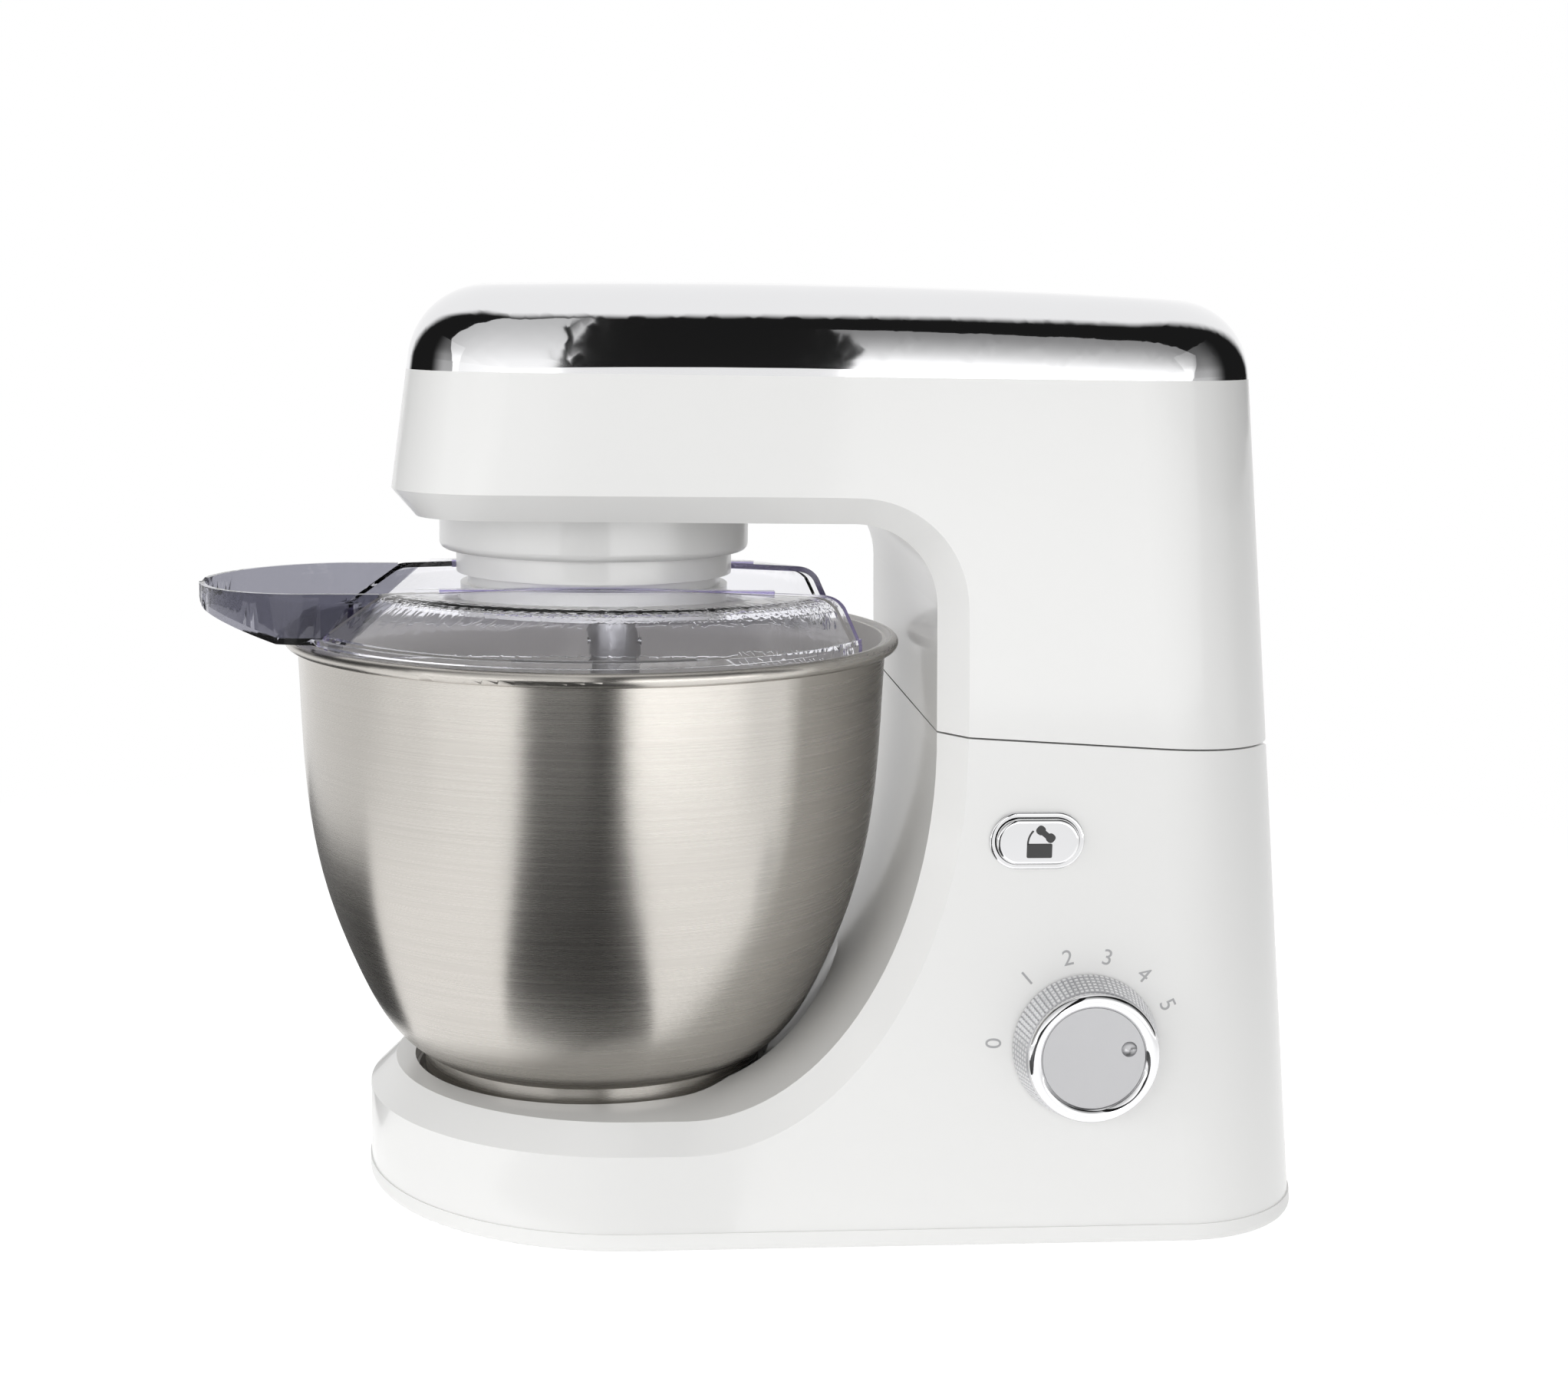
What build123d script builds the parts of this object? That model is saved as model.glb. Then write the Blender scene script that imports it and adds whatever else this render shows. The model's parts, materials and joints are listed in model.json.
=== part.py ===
from build123d import *
import math
import os

# A tilt-head stand mixer. Millimetres, +Z up, bowl towards -X, control side towards -Y.
# The origin is on the table, under the middle of the whole machine.

# Driving dimensions
BOWL_X = -54.7
HALF_W = 92.0
WALL = 3.0
BEVEL = 9.0
FOOT_H = 2.0
GAP = 0.6
FAR = 400.0
OVERRUN = 30.0
NEAR = 0.5

# Base and column
TRAY_TOP_Z = 8.5
TRAY_PROUD = 0.5
BASE_TOP_Z = 44.0
FOOT_X = BOWL_X + 12.2
BACK_X = BOWL_X + 246.2
BACK_SLOPE = math.tan(math.radians(5.45))
BACK_CORNER = 46.0
SWEEP_X = BOWL_X + 30.0
SWEEP_Z = 169.0
SEAM_X = BOWL_X + 110.9
SEAM_Z = 176.0
SEAM_ANGLE = 3.35
FACE_SLOPE = 0.0213

# Head
HEAD_LOW_Z = 243.5
COVER_Z = 290.8
TOP_Z = 320.0
HEAD_FRONT_X = BOWL_X - 61.6
FRONT_SLOPE = 0.133
FRONT_CORNER = 34.0
ARCH_R = 27.0
COVER_ROUND = 26.0
COVER_WALL = 2.5
CROWN_R = 3000.0

# Tilt hinge
HINGE_BELOW_SEAM = 16.0
HINGE_FROM_BACK = 9.4
HINGE_PIN_R = 4.0
TONGUE_HALF = 30.0
TONGUE_R = 10.5
TONGUE_ROOM = 1.8
RUN = 0.05

# Bowl
RIM_R = 108.0
RIM_ROLL = 2.4
RIM_NECK = 4.4
RIM_Z = 195.8
BOWL_T = 1.2
BOWL_FOOT_Z = 48.3
BOWL_FOOT_R = 60.4
BOWL_SIDE_R = 95.6
BOWL_SIDE_Z = 112.0
BOWL_TURN_R = 83.0
BOWL_TURN_Z = 77.0
BOWL_TURN_NORMAL = (0.85, -0.53)
FOOT_STEP = 0.6
FLOOR_BEND = 30.0
FLOOR_BEND_R = 14.0
SCOOP_GAP = 3.0
SEAT_R = 64.0
SEAT_Z = 31.0
SEAT_DEPTH = 30.0
LUG_COUNT = 3
LUG_SPAN = 24.0
TAB_SPAN = 30.0

# Hub collar and drive
COLLAR_R = 54.2
COLLAR_STEP_R = 48.4
COLLAR_STEP_Z = 227.3
COLLAR_LOW_Z = 219.2
GROOVE_R = 44.5
FLANGE_R = 47.0
FLANGE_TOP_Z = 215.2
FLANGE_LOW_Z = 208.0
PLANET_R = 30.0
PLANET_ANGLE = -77.5
RING_TEETH = 42
PLANET_TEETH = 12
PLANET_MODULE = 2.0
MAIN_TEETH = 57
LAY_TEETH = 12
MAIN_MODULE = 1.5
PRESSURE = math.radians(25)
RING_Z = (229.0, 237.5)
MAIN_GEAR_Z = (252.0, 260.0)
PULLEY_Z = (264.0, 274.0)
LAY_PULLEY_R = 30.0
MOTOR_PULLEY_R = 7.0
BELT_T = 2.0
MAIN_SHAFT_R = 6.0
TOOL_SHAFT_R = 6.0
LAY_SHAFT_R = 5.0
LAY_X = BOWL_X + (MAIN_TEETH + LAY_TEETH) * MAIN_MODULE / 2
PLATE_Z = HEAD_LOW_Z + WALL
COVER_PLATE_Z = 281.0
PLATE_T = 3.0

# Motor
MOTOR_X = BOWL_X + 168.0
MOTOR_R = 33.0
MOTOR_SHAFT_R = 4.0
ARMATURE_R = 20.0
AIR_GAP = 0.5
STATOR_Z = (201.0, 243.0)

# Splash guard
GUARD_R = 101.0
GUARD_T = 2.0
GUARD_ROOF_Z = 219.3
GUARD_ROOF_R = 20.0
GUARD_ROOF_FALL = 0.0485
GUARD_EDGE_R = 87.6
GUARD_EDGE_X = BOWL_X + 5.7
GUARD_FOOT_R = 103.6
GUARD_FOOT_X = BOWL_X - 3.1
GUARD_FOOT_Z = 199.0
GUARD_LOW_Z = 192.0
GUARD_ROUND = 8.0
GUARD_SLOT = 45.0
SPOUT_X = BOWL_X - 91.0
SPOUT_R = 46.0
SPOUT_RIM_Z = 216.0

# Speed knob
KNOB_X = BOWL_X + 161.8
KNOB_Z = 71.5
KNOB_BACK_R = 24.2
KNOB_RING_R = 21.9
KNOB_CAP_R = 17.0
KNOB_FRONT_Y = -RIM_R
POINTER_ANGLE = 14.5
POINTER_R = 12.0

# Control board
BOARD_X = 120.0
BOARD_SIZE = (80.0, 64.0)
BOARD_Z = 16.0
BOARD_POST_R = 4.0

# Head release
BUTTON_X = BOWL_X + 143.3
BUTTON_Z = 141.3
BEZEL_LENGTH = 31.5
BEZEL_HEIGHT = 19.1
CAP_LENGTH = 27.5
CAP_HEIGHT = 15.3
BUTTON_PLAY = 0.3
LATCH_Y = -56.0
LATCH_Z = 159.0
LATCH_W = 12.0
STEM_R = 3.0
GUIDE_Y = -68.5
GUIDE_W = 24.0
GUIDE_T = 3.0

# Mains inlet at the low back
INLET_Z = 24.0
INLET_R = 7.0

UP = (Align.CENTER, Align.CENTER, Align.MIN)


def back_x(z):
    return BACK_X - BACK_SLOPE * z


def head_front_x(z):
    return HEAD_FRONT_X - FRONT_SLOPE * (COVER_Z - z)


def face_x(z):
    return SEAM_X - FACE_SLOPE * (z - SEAM_Z)


def seam_z(x):
    return SEAM_Z - math.tan(math.radians(SEAM_ANGLE)) * (x - SEAM_X)


HINGE_X = back_x(seam_z(BACK_X)) - HINGE_FROM_BACK
HINGE_Z = seam_z(HINGE_X) - HINGE_BELOW_SEAM
HUB_PLANE = Plane(origin=(BOWL_X, 0, 0), x_dir=(1, 0, 0), z_dir=(0, -1, 0))
HUB_AXIS = Axis((BOWL_X, 0, 0), (0, 0, 1))
PLANET_X = BOWL_X + PLANET_R * math.cos(math.radians(PLANET_ANGLE))
PLANET_Y = PLANET_R * math.sin(math.radians(PLANET_ANGLE))


INLET_PLANE = Plane(origin=(back_x(INLET_Z), 0, INLET_Z), x_dir=(0, 1, 0), z_dir=(1, 0, BACK_SLOPE))


def seam_plane(rise):
    """The tilted plane where the head meets the column, raised by a distance."""
    return Plane(origin=(SEAM_X, 0, SEAM_Z + rise), x_dir=(1, 0, 0)).rotated((0, SEAM_ANGLE, 0))


def above_seam(rise):
    with BuildPart(seam_plane(rise)) as block:
        Box(2 * FAR, 2 * FAR, FAR, align=UP)
    return block.part


def base_section(z, inset):
    back = back_x(z) - inset
    with BuildSketch(Plane.XY.offset(z)) as section:
        with Locations(((FOOT_X + back) / 2, 0)):
            Rectangle(back - FOOT_X, 2 * (HALF_W - inset))
        fillet(section.vertices().group_by(Axis.X)[-1], BACK_CORNER - inset)
        with Locations((FOOT_X, 0)):
            Circle(HALF_W - inset)
    return section.sketch


def head_section(z, inset):
    front = head_front_x(z) + inset
    back = back_x(z) - inset
    with BuildSketch(Plane.XY.offset(z)) as section:
        with Locations(((front + back) / 2, 0)):
            Rectangle(back - front, 2 * (HALF_W - inset))
        fillet(section.vertices().group_by(Axis.X)[-1], BACK_CORNER - inset)
        fillet(section.vertices().group_by(Axis.X)[0], FRONT_CORNER - inset)
    return section.sketch


def bevel_for(inset):
    """The bevel's leg on a form drawn in by the wall thickness, so the wall stays even."""
    return BEVEL - inset * (2 - math.sqrt(2))


def base_form(inset, low_z):
    """Foot and column as one block, with the swept front and its bevel."""
    top = BASE_TOP_Z - inset
    reach = face_x(SWEEP_Z) + inset - SWEEP_X
    high = SEAM_Z + OVERRUN
    with BuildPart() as form:
        loft([base_section(low_z, inset), base_section(high, inset)], ruled=True)
        with BuildSketch(Plane.XZ) as mouth:
            with BuildLine():
                EllipticalCenterArc((SWEEP_X, SWEEP_Z), reach, SWEEP_Z - top, start_angle=-90, arc_size=90)
                Polyline(
                    (SWEEP_X + reach, SWEEP_Z),
                    (face_x(high) + inset, high),
                    (-FAR, high),
                    (-FAR, top),
                    (SWEEP_X, top),
                )
            make_face()
        extrude(amount=FAR, both=True, mode=Mode.SUBTRACT)

        def on_mouth(edge):
            middle = edge @ 0.5
            beside = abs(middle.Y) > HALF_W - inset - NEAR
            if abs(middle.Z - top) < NEAR:
                return beside or middle.X < BOWL_X
            return beside and top < middle.Z < high - NEAR and middle.X < SWEEP_X + reach + NEAR

        chamfer(form.edges().filter_by(on_mouth), bevel_for(inset))
    return form.part


def head_form(inset):
    """The head's lower shell as one block: arm, arch and the part over the column."""
    low = HEAD_LOW_Z + inset
    bottom = SEAM_Z - OVERRUN
    corner = (face_x(HEAD_LOW_Z) + inset, low)
    with BuildPart() as form:
        loft([head_section(bottom, inset), head_section(COVER_Z, inset)], ruled=True)
        with BuildSketch(Plane.XZ) as mouth:
            with BuildLine():
                Polyline(
                    (-FAR, low),
                    corner,
                    (face_x(bottom) + inset, bottom),
                    (-FAR, bottom),
                    close=True,
                )
            make_face()
            fillet(mouth.vertices().group_by(Axis.Y)[-1].sort_by(Axis.X)[-1], ARCH_R + inset)
        extrude(amount=FAR, both=True, mode=Mode.SUBTRACT)

        def on_mouth(edge):
            middle = edge @ 0.5
            beside = abs(middle.Y) > HALF_W - inset - NEAR
            if abs(middle.Z - low) < NEAR:
                return beside or middle.X < BOWL_X
            return beside and middle.X < face_x(bottom) + inset + NEAR and middle.Z < low

        chamfer(form.edges().filter_by(on_mouth), bevel_for(inset))
    return form.part


def cover_form(inset):
    """The crowned top of the head, rounded all the way along its edge."""
    with BuildPart() as form:
        loft([head_section(COVER_Z, inset), head_section(TOP_Z + OVERRUN, inset)], ruled=True)
        with Locations((0, 0, TOP_Z - inset - CROWN_R)):
            Sphere(CROWN_R, mode=Mode.INTERSECT)
        crown = form.faces().sort_by(Axis.Z)[-1]
        fillet(crown.edges(), COVER_ROUND - inset)
    return form.part


def bowl_outline(grow):
    """Draws the bowl's outside from the rim to the middle of its floor, moved out by a distance."""
    lean = math.radians(FLOOR_BEND)
    side = Spline(
        (RIM_R - RIM_NECK + grow, RIM_Z + RIM_ROLL / 2),
        (BOWL_SIDE_R + grow, BOWL_SIDE_Z),
        (BOWL_TURN_R + BOWL_TURN_NORMAL[0] * grow, BOWL_TURN_Z + BOWL_TURN_NORMAL[1] * grow),
        (BOWL_FOOT_R + FOOT_STEP + math.sin(lean) * grow, BOWL_FOOT_Z - math.cos(lean) * grow),
        tangents=((-0.05, -1), (-math.cos(lean), -math.sin(lean))),
    )
    bend = JernArc(side @ 1, side % 1, FLOOR_BEND_R + grow, -FLOOR_BEND)
    floor = Line(bend @ 1, (0, (bend @ 1).Y))
    return side @ 0, floor @ 1


def bowl_block(grow):
    """The room that the bowl takes, moved out by a distance."""
    with BuildPart() as block:
        with BuildSketch(HUB_PLANE):
            with BuildLine():
                rim, middle = bowl_outline(grow)
                Polyline(middle, (0, rim.Y), rim)
            make_face()
        revolve(axis=HUB_AXIS)
    return block.part


def ring(x, y, low, high, outer, hole=0.0, mode=Mode.ADD):
    """A disc, or a ring if it has a hole, about a vertical axis in the part being built."""
    with BuildSketch(Plane(origin=(x, y, low))) as flat:
        Circle(outer)
        if hole:
            Circle(hole, mode=Mode.SUBTRACT)
    extrude(flat.sketch, amount=high - low, mode=mode)


# Base housing

SEAT_WALL = 3.0
with BuildPart() as base_cavity:
    add(base_form(WALL, TRAY_TOP_Z - 1))
    add(above_seam(-GAP - WALL), mode=Mode.SUBTRACT)
    add(bowl_block(SCOOP_GAP + SEAT_WALL), mode=Mode.SUBTRACT)
    with Locations((BOWL_X, 0, SEAT_Z - SEAT_WALL)):
        Cylinder(SEAT_R + SEAT_WALL, FAR, align=UP, mode=Mode.SUBTRACT)

with BuildPart() as swing_room:
    with Locations((HINGE_X, 0, HINGE_Z)):
        Box(FAR, FAR, FAR, align=(Align.MIN, Align.CENTER, Align.MIN))
        Cylinder(HINGE_BELOW_SEAM - GAP, FAR, rotation=(90, 0, 0), mode=Mode.SUBTRACT)

BRACKET_T = 6.0
BRACKET_R = 9.0
BRACKET_SINK = 1.0
BRACKET_BACK = 5.0
LATCH_RIB_T = 4.0
LATCH_RIB_W = 18.0
LATCH_RIB_DROP = 6.0
LATCH_PLAY = 1.0
LATCH_PIN_R = 2.0
LATCH_OPENING = 22.0
BEZEL_LIP = 1.0
SWITCH_NECK_R = 5.0
SLOT_PLAY = 0.5

with BuildPart() as base_housing:
    add(base_form(0, TRAY_TOP_Z))
    add(above_seam(-GAP), mode=Mode.SUBTRACT)
    add(base_cavity.part, mode=Mode.SUBTRACT)
    # Round seat for the bowl's foot, and the hollow that follows the bowl's side
    add(bowl_block(SCOOP_GAP), mode=Mode.SUBTRACT)
    with Locations((BOWL_X, 0, SEAT_Z)):
        Cylinder(SEAT_R, SEAT_DEPTH, align=UP, mode=Mode.SUBTRACT)
    # Brackets that carry the hinge pin, hanging under the column's top
    with BuildSketch(Plane.XZ) as bracket:
        with BuildLine():
            Polyline(
                (HINGE_X - BRACKET_R, HINGE_Z),
                (HINGE_X - BRACKET_R, seam_z(HINGE_X - BRACKET_R) - GAP - BRACKET_SINK),
                (back_x(seam_z(BACK_X)) - 2 * BRACKET_SINK, seam_z(BACK_X) - BRACKET_BACK),
                (back_x(HINGE_Z - BRACKET_R) - BRACKET_SINK, HINGE_Z - BRACKET_R),
                (HINGE_X, HINGE_Z - BRACKET_R),
            )
            RadiusArc((HINGE_X, HINGE_Z - BRACKET_R), (HINGE_X - BRACKET_R, HINGE_Z), BRACKET_R)
        make_face()
    for side in (-1, 1):
        start = side * (TONGUE_HALF + SLOT_PLAY)
        extrude(bracket.sketch.moved(Location((0, start, 0))), amount=-side * BRACKET_T)
    # The column's top falls away behind the pin, so the head's back edge can swing over it
    add(swing_room.part, mode=Mode.SUBTRACT)
    # Slot in the back wall for the head's hinge tongue
    with BuildSketch(Plane.XZ):
        with Locations((HINGE_X, HINGE_Z)):
            Circle(TONGUE_R + TONGUE_ROOM)
            Rectangle(2 * (TONGUE_R + TONGUE_ROOM), FAR, align=(Align.CENTER, Align.MIN))
            Rectangle(FAR, FAR, align=(Align.MIN, Align.MIN))
    extrude(amount=TONGUE_HALF + SLOT_PLAY, both=True, mode=Mode.SUBTRACT)
    with Locations((HINGE_X, 0, HINGE_Z)):
        pin_seat = 2 * (TONGUE_HALF + SLOT_PLAY + BRACKET_T)
        Cylinder(HINGE_PIN_R, pin_seat, rotation=(90, 0, 0), mode=Mode.SUBTRACT)
    # Two ribs that carry the latch
    rib_x = LATCH_W / 2 + LATCH_PLAY + LATCH_RIB_T / 2
    rib_top_z = seam_z(BUTTON_X + rib_x) - GAP - BRACKET_SINK
    for side in (-1, 1):
        with Locations((BUTTON_X + side * rib_x, LATCH_Y, LATCH_Z - LATCH_RIB_DROP)):
            Box(LATCH_RIB_T, LATCH_RIB_W, rib_top_z - LATCH_Z + LATCH_RIB_DROP, align=UP)
    with Locations((BUTTON_X, LATCH_Y, LATCH_Z)):
        Cylinder(LATCH_PIN_R, 3 * LATCH_W, rotation=(0, 90, 0), mode=Mode.SUBTRACT)
    # Openings for the latch hook, the button, the knob's shaft and the mains inlet
    with Locations((BUTTON_X, LATCH_Y, SEAM_Z)):
        Box(LATCH_W + 2 * LATCH_PLAY, LATCH_OPENING, OVERRUN, mode=Mode.SUBTRACT)
    with BuildSketch(Plane.XZ.offset(HALF_W)):
        with Locations((BUTTON_X, BUTTON_Z)):
            SlotOverall(BEZEL_LENGTH - 2 * BEZEL_LIP, BEZEL_HEIGHT - 2 * BEZEL_LIP)
        with Locations((KNOB_X, KNOB_Z)):
            Circle(SWITCH_NECK_R)
    extrude(amount=2 * WALL, both=True, mode=Mode.SUBTRACT)
    with BuildSketch(INLET_PLANE):
        Circle(INLET_R)
    extrude(amount=-3 * WALL, mode=Mode.SUBTRACT)
    # Guide for the button's stem
    with Locations((BUTTON_X, GUIDE_Y, BUTTON_Z - GUIDE_W / 2)):
        guide_top_z = seam_z(BUTTON_X + GUIDE_W / 2) - GAP - BRACKET_SINK
        Box(GUIDE_W, GUIDE_T, guide_top_z - BUTTON_Z + GUIDE_W / 2, align=UP)
    with Locations((BUTTON_X, GUIDE_Y, BUTTON_Z)):
        Cylinder(STEM_R + RUN, 2 * GUIDE_T, rotation=(90, 0, 0), mode=Mode.SUBTRACT)

# Tray under the base, with its rubber feet

TRAY_FLOOR_T = 3.0
FOOT_SPOTS = [(FOOT_X - 66, 0), (FOOT_X + 4, 74), (FOOT_X + 4, -74), (BACK_X - 40, 66), (BACK_X - 40, -66)]
FOOT_PAD_R = 10.0
FOOT_PAD_SINK = 1.5
FOOT_PAD_ROUND = 0.8
TRAY_ROUND = 2.5
TRAY_VENT_X = 30.0
TRAY_VENT_COUNT = 8
TRAY_VENT_PITCH = 9.0
TRAY_VENT_SIZE = (3.5, 60.0)

with BuildPart() as base_tray:
    loft([base_section(FOOT_H, -TRAY_PROUD), base_section(TRAY_TOP_Z, -TRAY_PROUD)], ruled=True)
    fillet(base_tray.faces().sort_by(Axis.Z)[0].edges(), TRAY_ROUND)
    with BuildSketch(Plane.XY.offset(TRAY_TOP_Z)):
        add(base_section(0, WALL).face())
    extrude(amount=-(TRAY_TOP_Z - FOOT_H - TRAY_FLOOR_T), mode=Mode.SUBTRACT)
    with Locations(*[(x, y, FOOT_H) for x, y in FOOT_SPOTS]):
        Cylinder(FOOT_PAD_R, FOOT_PAD_SINK, align=UP, mode=Mode.SUBTRACT)
    with Locations((TRAY_VENT_X, 0, FOOT_H)):
        with GridLocations(TRAY_VENT_PITCH, 0, TRAY_VENT_COUNT, 1):
            Box(*TRAY_VENT_SIZE, 3 * TRAY_FLOOR_T, mode=Mode.SUBTRACT)
    with Locations((BOARD_X, 0, FOOT_H)):
        with GridLocations(BOARD_SIZE[0] - 2 * BOARD_POST_R, BOARD_SIZE[1] - 2 * BOARD_POST_R, 2, 2):
            Cylinder(BOARD_POST_R, BOARD_Z - FOOT_H, align=UP)

with BuildPart() as feet:
    with Locations(*[(x, y, 0) for x, y in FOOT_SPOTS]):
        Cylinder(FOOT_PAD_R, FOOT_H + FOOT_PAD_SINK, align=UP)
    fillet(feet.edges().filter_by(GeomType.CIRCLE).group_by(Axis.Z)[0], FOOT_PAD_ROUND)

# Bayonet ring in the bowl seat

RING_WALL = 1.0
RING_H = 8.0
RING_FLOOR_T = 1.5
RING_FLOOR_R = 52.0
TAB_RISE = 5.0
TAB_T = 3.0
TAB_PLAY = 0.5
SEAT_PLAY = 0.2
with BuildPart() as bowl_lock_ring:
    outer = SEAT_R - SEAT_PLAY
    with BuildSketch(Plane.XY.offset(SEAT_Z)):
        with Locations((BOWL_X, 0)):
            Circle(outer)
            Circle(RING_FLOOR_R, mode=Mode.SUBTRACT)
    extrude(amount=RING_FLOOR_T)
    with BuildSketch(Plane.XY.offset(SEAT_Z)):
        with Locations((BOWL_X, 0)):
            Circle(outer)
            Circle(outer - RING_WALL, mode=Mode.SUBTRACT)
    extrude(amount=RING_H)
    with BuildSketch(Plane.XY.offset(SEAT_Z + TAB_RISE)) as tabs:
        with PolarLocations(0, LUG_COUNT):
            with BuildLine():
                arc = CenterArc((0, 0), outer - RING_WALL / 2, -TAB_SPAN / 2, TAB_SPAN)
                inner = CenterArc((0, 0), BOWL_FOOT_R + TAB_PLAY, -TAB_SPAN / 2, TAB_SPAN)
                Line(arc @ 0, inner @ 0)
                Line(arc @ 1, inner @ 1)
            make_face()
    extrude(tabs.sketch.moved(Location((BOWL_X, 0, 0))), amount=TAB_T)

# Small pieces of the base: hinge pin, mains inlet, switch, control board

PIN_CHAMFER = 0.8
INLET_LIP = 2.0
INLET_LIP_T = 1.5
INLET_ROUND = 0.7
INLET_HOLE_R = 4.0

with BuildPart() as hinge_pin:
    with Locations((HINGE_X, 0, HINGE_Z)):
        Cylinder(HINGE_PIN_R, pin_seat, rotation=(90, 0, 0))
    chamfer(hinge_pin.edges(), PIN_CHAMFER)

with BuildPart() as mains_inlet:
    with BuildSketch(INLET_PLANE.offset(-WALL)):
        Circle(INLET_R)
    extrude(amount=WALL)
    with BuildSketch(INLET_PLANE):
        Circle(INLET_R + INLET_LIP)
    extrude(amount=INLET_LIP_T)
    fillet(mains_inlet.faces().sort_by(Axis.X)[-1].edges(), INLET_ROUND)
    with BuildSketch(INLET_PLANE.offset(-WALL)):
        Circle(INLET_HOLE_R)
    extrude(amount=2 * WALL, mode=Mode.SUBTRACT)

SWITCH_SIZE = 28.0
SWITCH_DEPTH = 16.0
SWITCH_CORNER = 3.0
SHAFT_STOP = 2.0
TERMINAL_SIZE = (5.0, 0.8)
TERMINAL_LENGTH = 7.0
TERMINAL_PITCH = 8.0
KNOB_SHAFT_R = 3.0
KNOB_PLANE = Plane(origin=(KNOB_X, -HALF_W, KNOB_Z), x_dir=(1, 0, 0), z_dir=(0, -1, 0))

with BuildPart() as speed_switch:
    with BuildSketch(KNOB_PLANE.offset(-WALL)):
        RectangleRounded(SWITCH_SIZE, SWITCH_SIZE, SWITCH_CORNER)
    extrude(amount=-SWITCH_DEPTH)
    with BuildSketch(KNOB_PLANE.offset(-WALL)):
        Circle(SWITCH_NECK_R)
    extrude(amount=WALL)
    with BuildSketch(KNOB_PLANE):
        Circle(KNOB_SHAFT_R + RUN)
    extrude(amount=-(WALL + SWITCH_DEPTH - SHAFT_STOP), mode=Mode.SUBTRACT)
    with BuildSketch(KNOB_PLANE.offset(-WALL - SWITCH_DEPTH)):
        with GridLocations(TERMINAL_PITCH, 0, 3, 1):
            Rectangle(*TERMINAL_SIZE)
    extrude(amount=-TERMINAL_LENGTH)

BOARD_T = 1.6
BOARD_CORNER = 2.0
CAPACITOR_R = 8.0
CAPACITOR_H = 22.0
CAPACITOR_SPOTS = [(-22.0, 14.0), (-22.0, -14.0)]
SINK_SPOT = (12.0, 12.0)
SINK_H = 18.0
SINK_FIN = (1.6, 24.0)
SINK_PITCH = 4.0
SINK_BAR = (22.0, 3.0)
PLUG_SPOT = (20.0, -20.0)
PLUG_SIZE = (26.0, 10.0)
PLUG_H = 12.0

with BuildPart() as control_board:
    with BuildSketch(Plane(origin=(BOARD_X, 0, BOARD_Z))):
        RectangleRounded(*BOARD_SIZE, BOARD_CORNER)
    extrude(amount=BOARD_T)
    board_top = Plane(origin=(BOARD_X, 0, BOARD_Z + BOARD_T))
    with BuildSketch(board_top):
        with Locations(*CAPACITOR_SPOTS):
            Circle(CAPACITOR_R)
    extrude(amount=CAPACITOR_H)
    with BuildSketch(board_top):
        with Locations(SINK_SPOT):
            with GridLocations(SINK_PITCH, 0, 5, 1):
                Rectangle(*SINK_FIN)
        with Locations(SINK_SPOT):
            Rectangle(*SINK_BAR)
    extrude(amount=SINK_H)
    with BuildSketch(board_top):
        with Locations(PLUG_SPOT):
            Rectangle(*PLUG_SIZE)
    extrude(amount=PLUG_H)

# Release button with its bezel and spring, and the latch it works

BUTTON_PLANE = Plane(origin=(BUTTON_X, -HALF_W, BUTTON_Z), x_dir=(1, 0, 0), z_dir=(0, -1, 0))
BEZEL_PROUD = 1.5
SLEEVE_DEPTH = 8.0
CAP_PROUD = 3.5
CAP_DEPTH = 12.0
LEVER_T = 5.0
LEVER_FACE_Y = LATCH_Y - 4.0
LEVER_FOOT = 6.0
LEVER_EYE_R = 5.0
KEEPER_T = 2.0
KEEPER_RIM = (6.0, 9.0)
HOOK_ROOM = 4.0
HOOK_LOW_Z = seam_z(BUTTON_X - LATCH_W / 2) + WALL + KEEPER_T + 0.4
HOOK_REACH = 4.0
HOOK_H = 7.0
HOOK_SLOT = 16.0
HOOK_SLOT_Y = LATCH_Y - 1.5
STEM_GAP = 0.3
BEZEL_ROUND = 0.8
CAP_ROUND = 1.2

with BuildPart() as button_bezel:
    with BuildSketch(BUTTON_PLANE):
        SlotOverall(BEZEL_LENGTH, BEZEL_HEIGHT)
    extrude(amount=BEZEL_PROUD)
    fillet(button_bezel.faces().sort_by(Axis.Y)[0].edges(), BEZEL_ROUND)
    with BuildSketch(BUTTON_PLANE):
        SlotOverall(BEZEL_LENGTH - 2 * BEZEL_LIP, BEZEL_HEIGHT - 2 * BEZEL_LIP)
    extrude(amount=-SLEEVE_DEPTH)
    with BuildSketch(BUTTON_PLANE.offset(BEZEL_PROUD)):
        SlotOverall(CAP_LENGTH + 2 * BUTTON_PLAY, CAP_HEIGHT + 2 * BUTTON_PLAY)
    extrude(amount=-2 * SLEEVE_DEPTH, mode=Mode.SUBTRACT)

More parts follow.
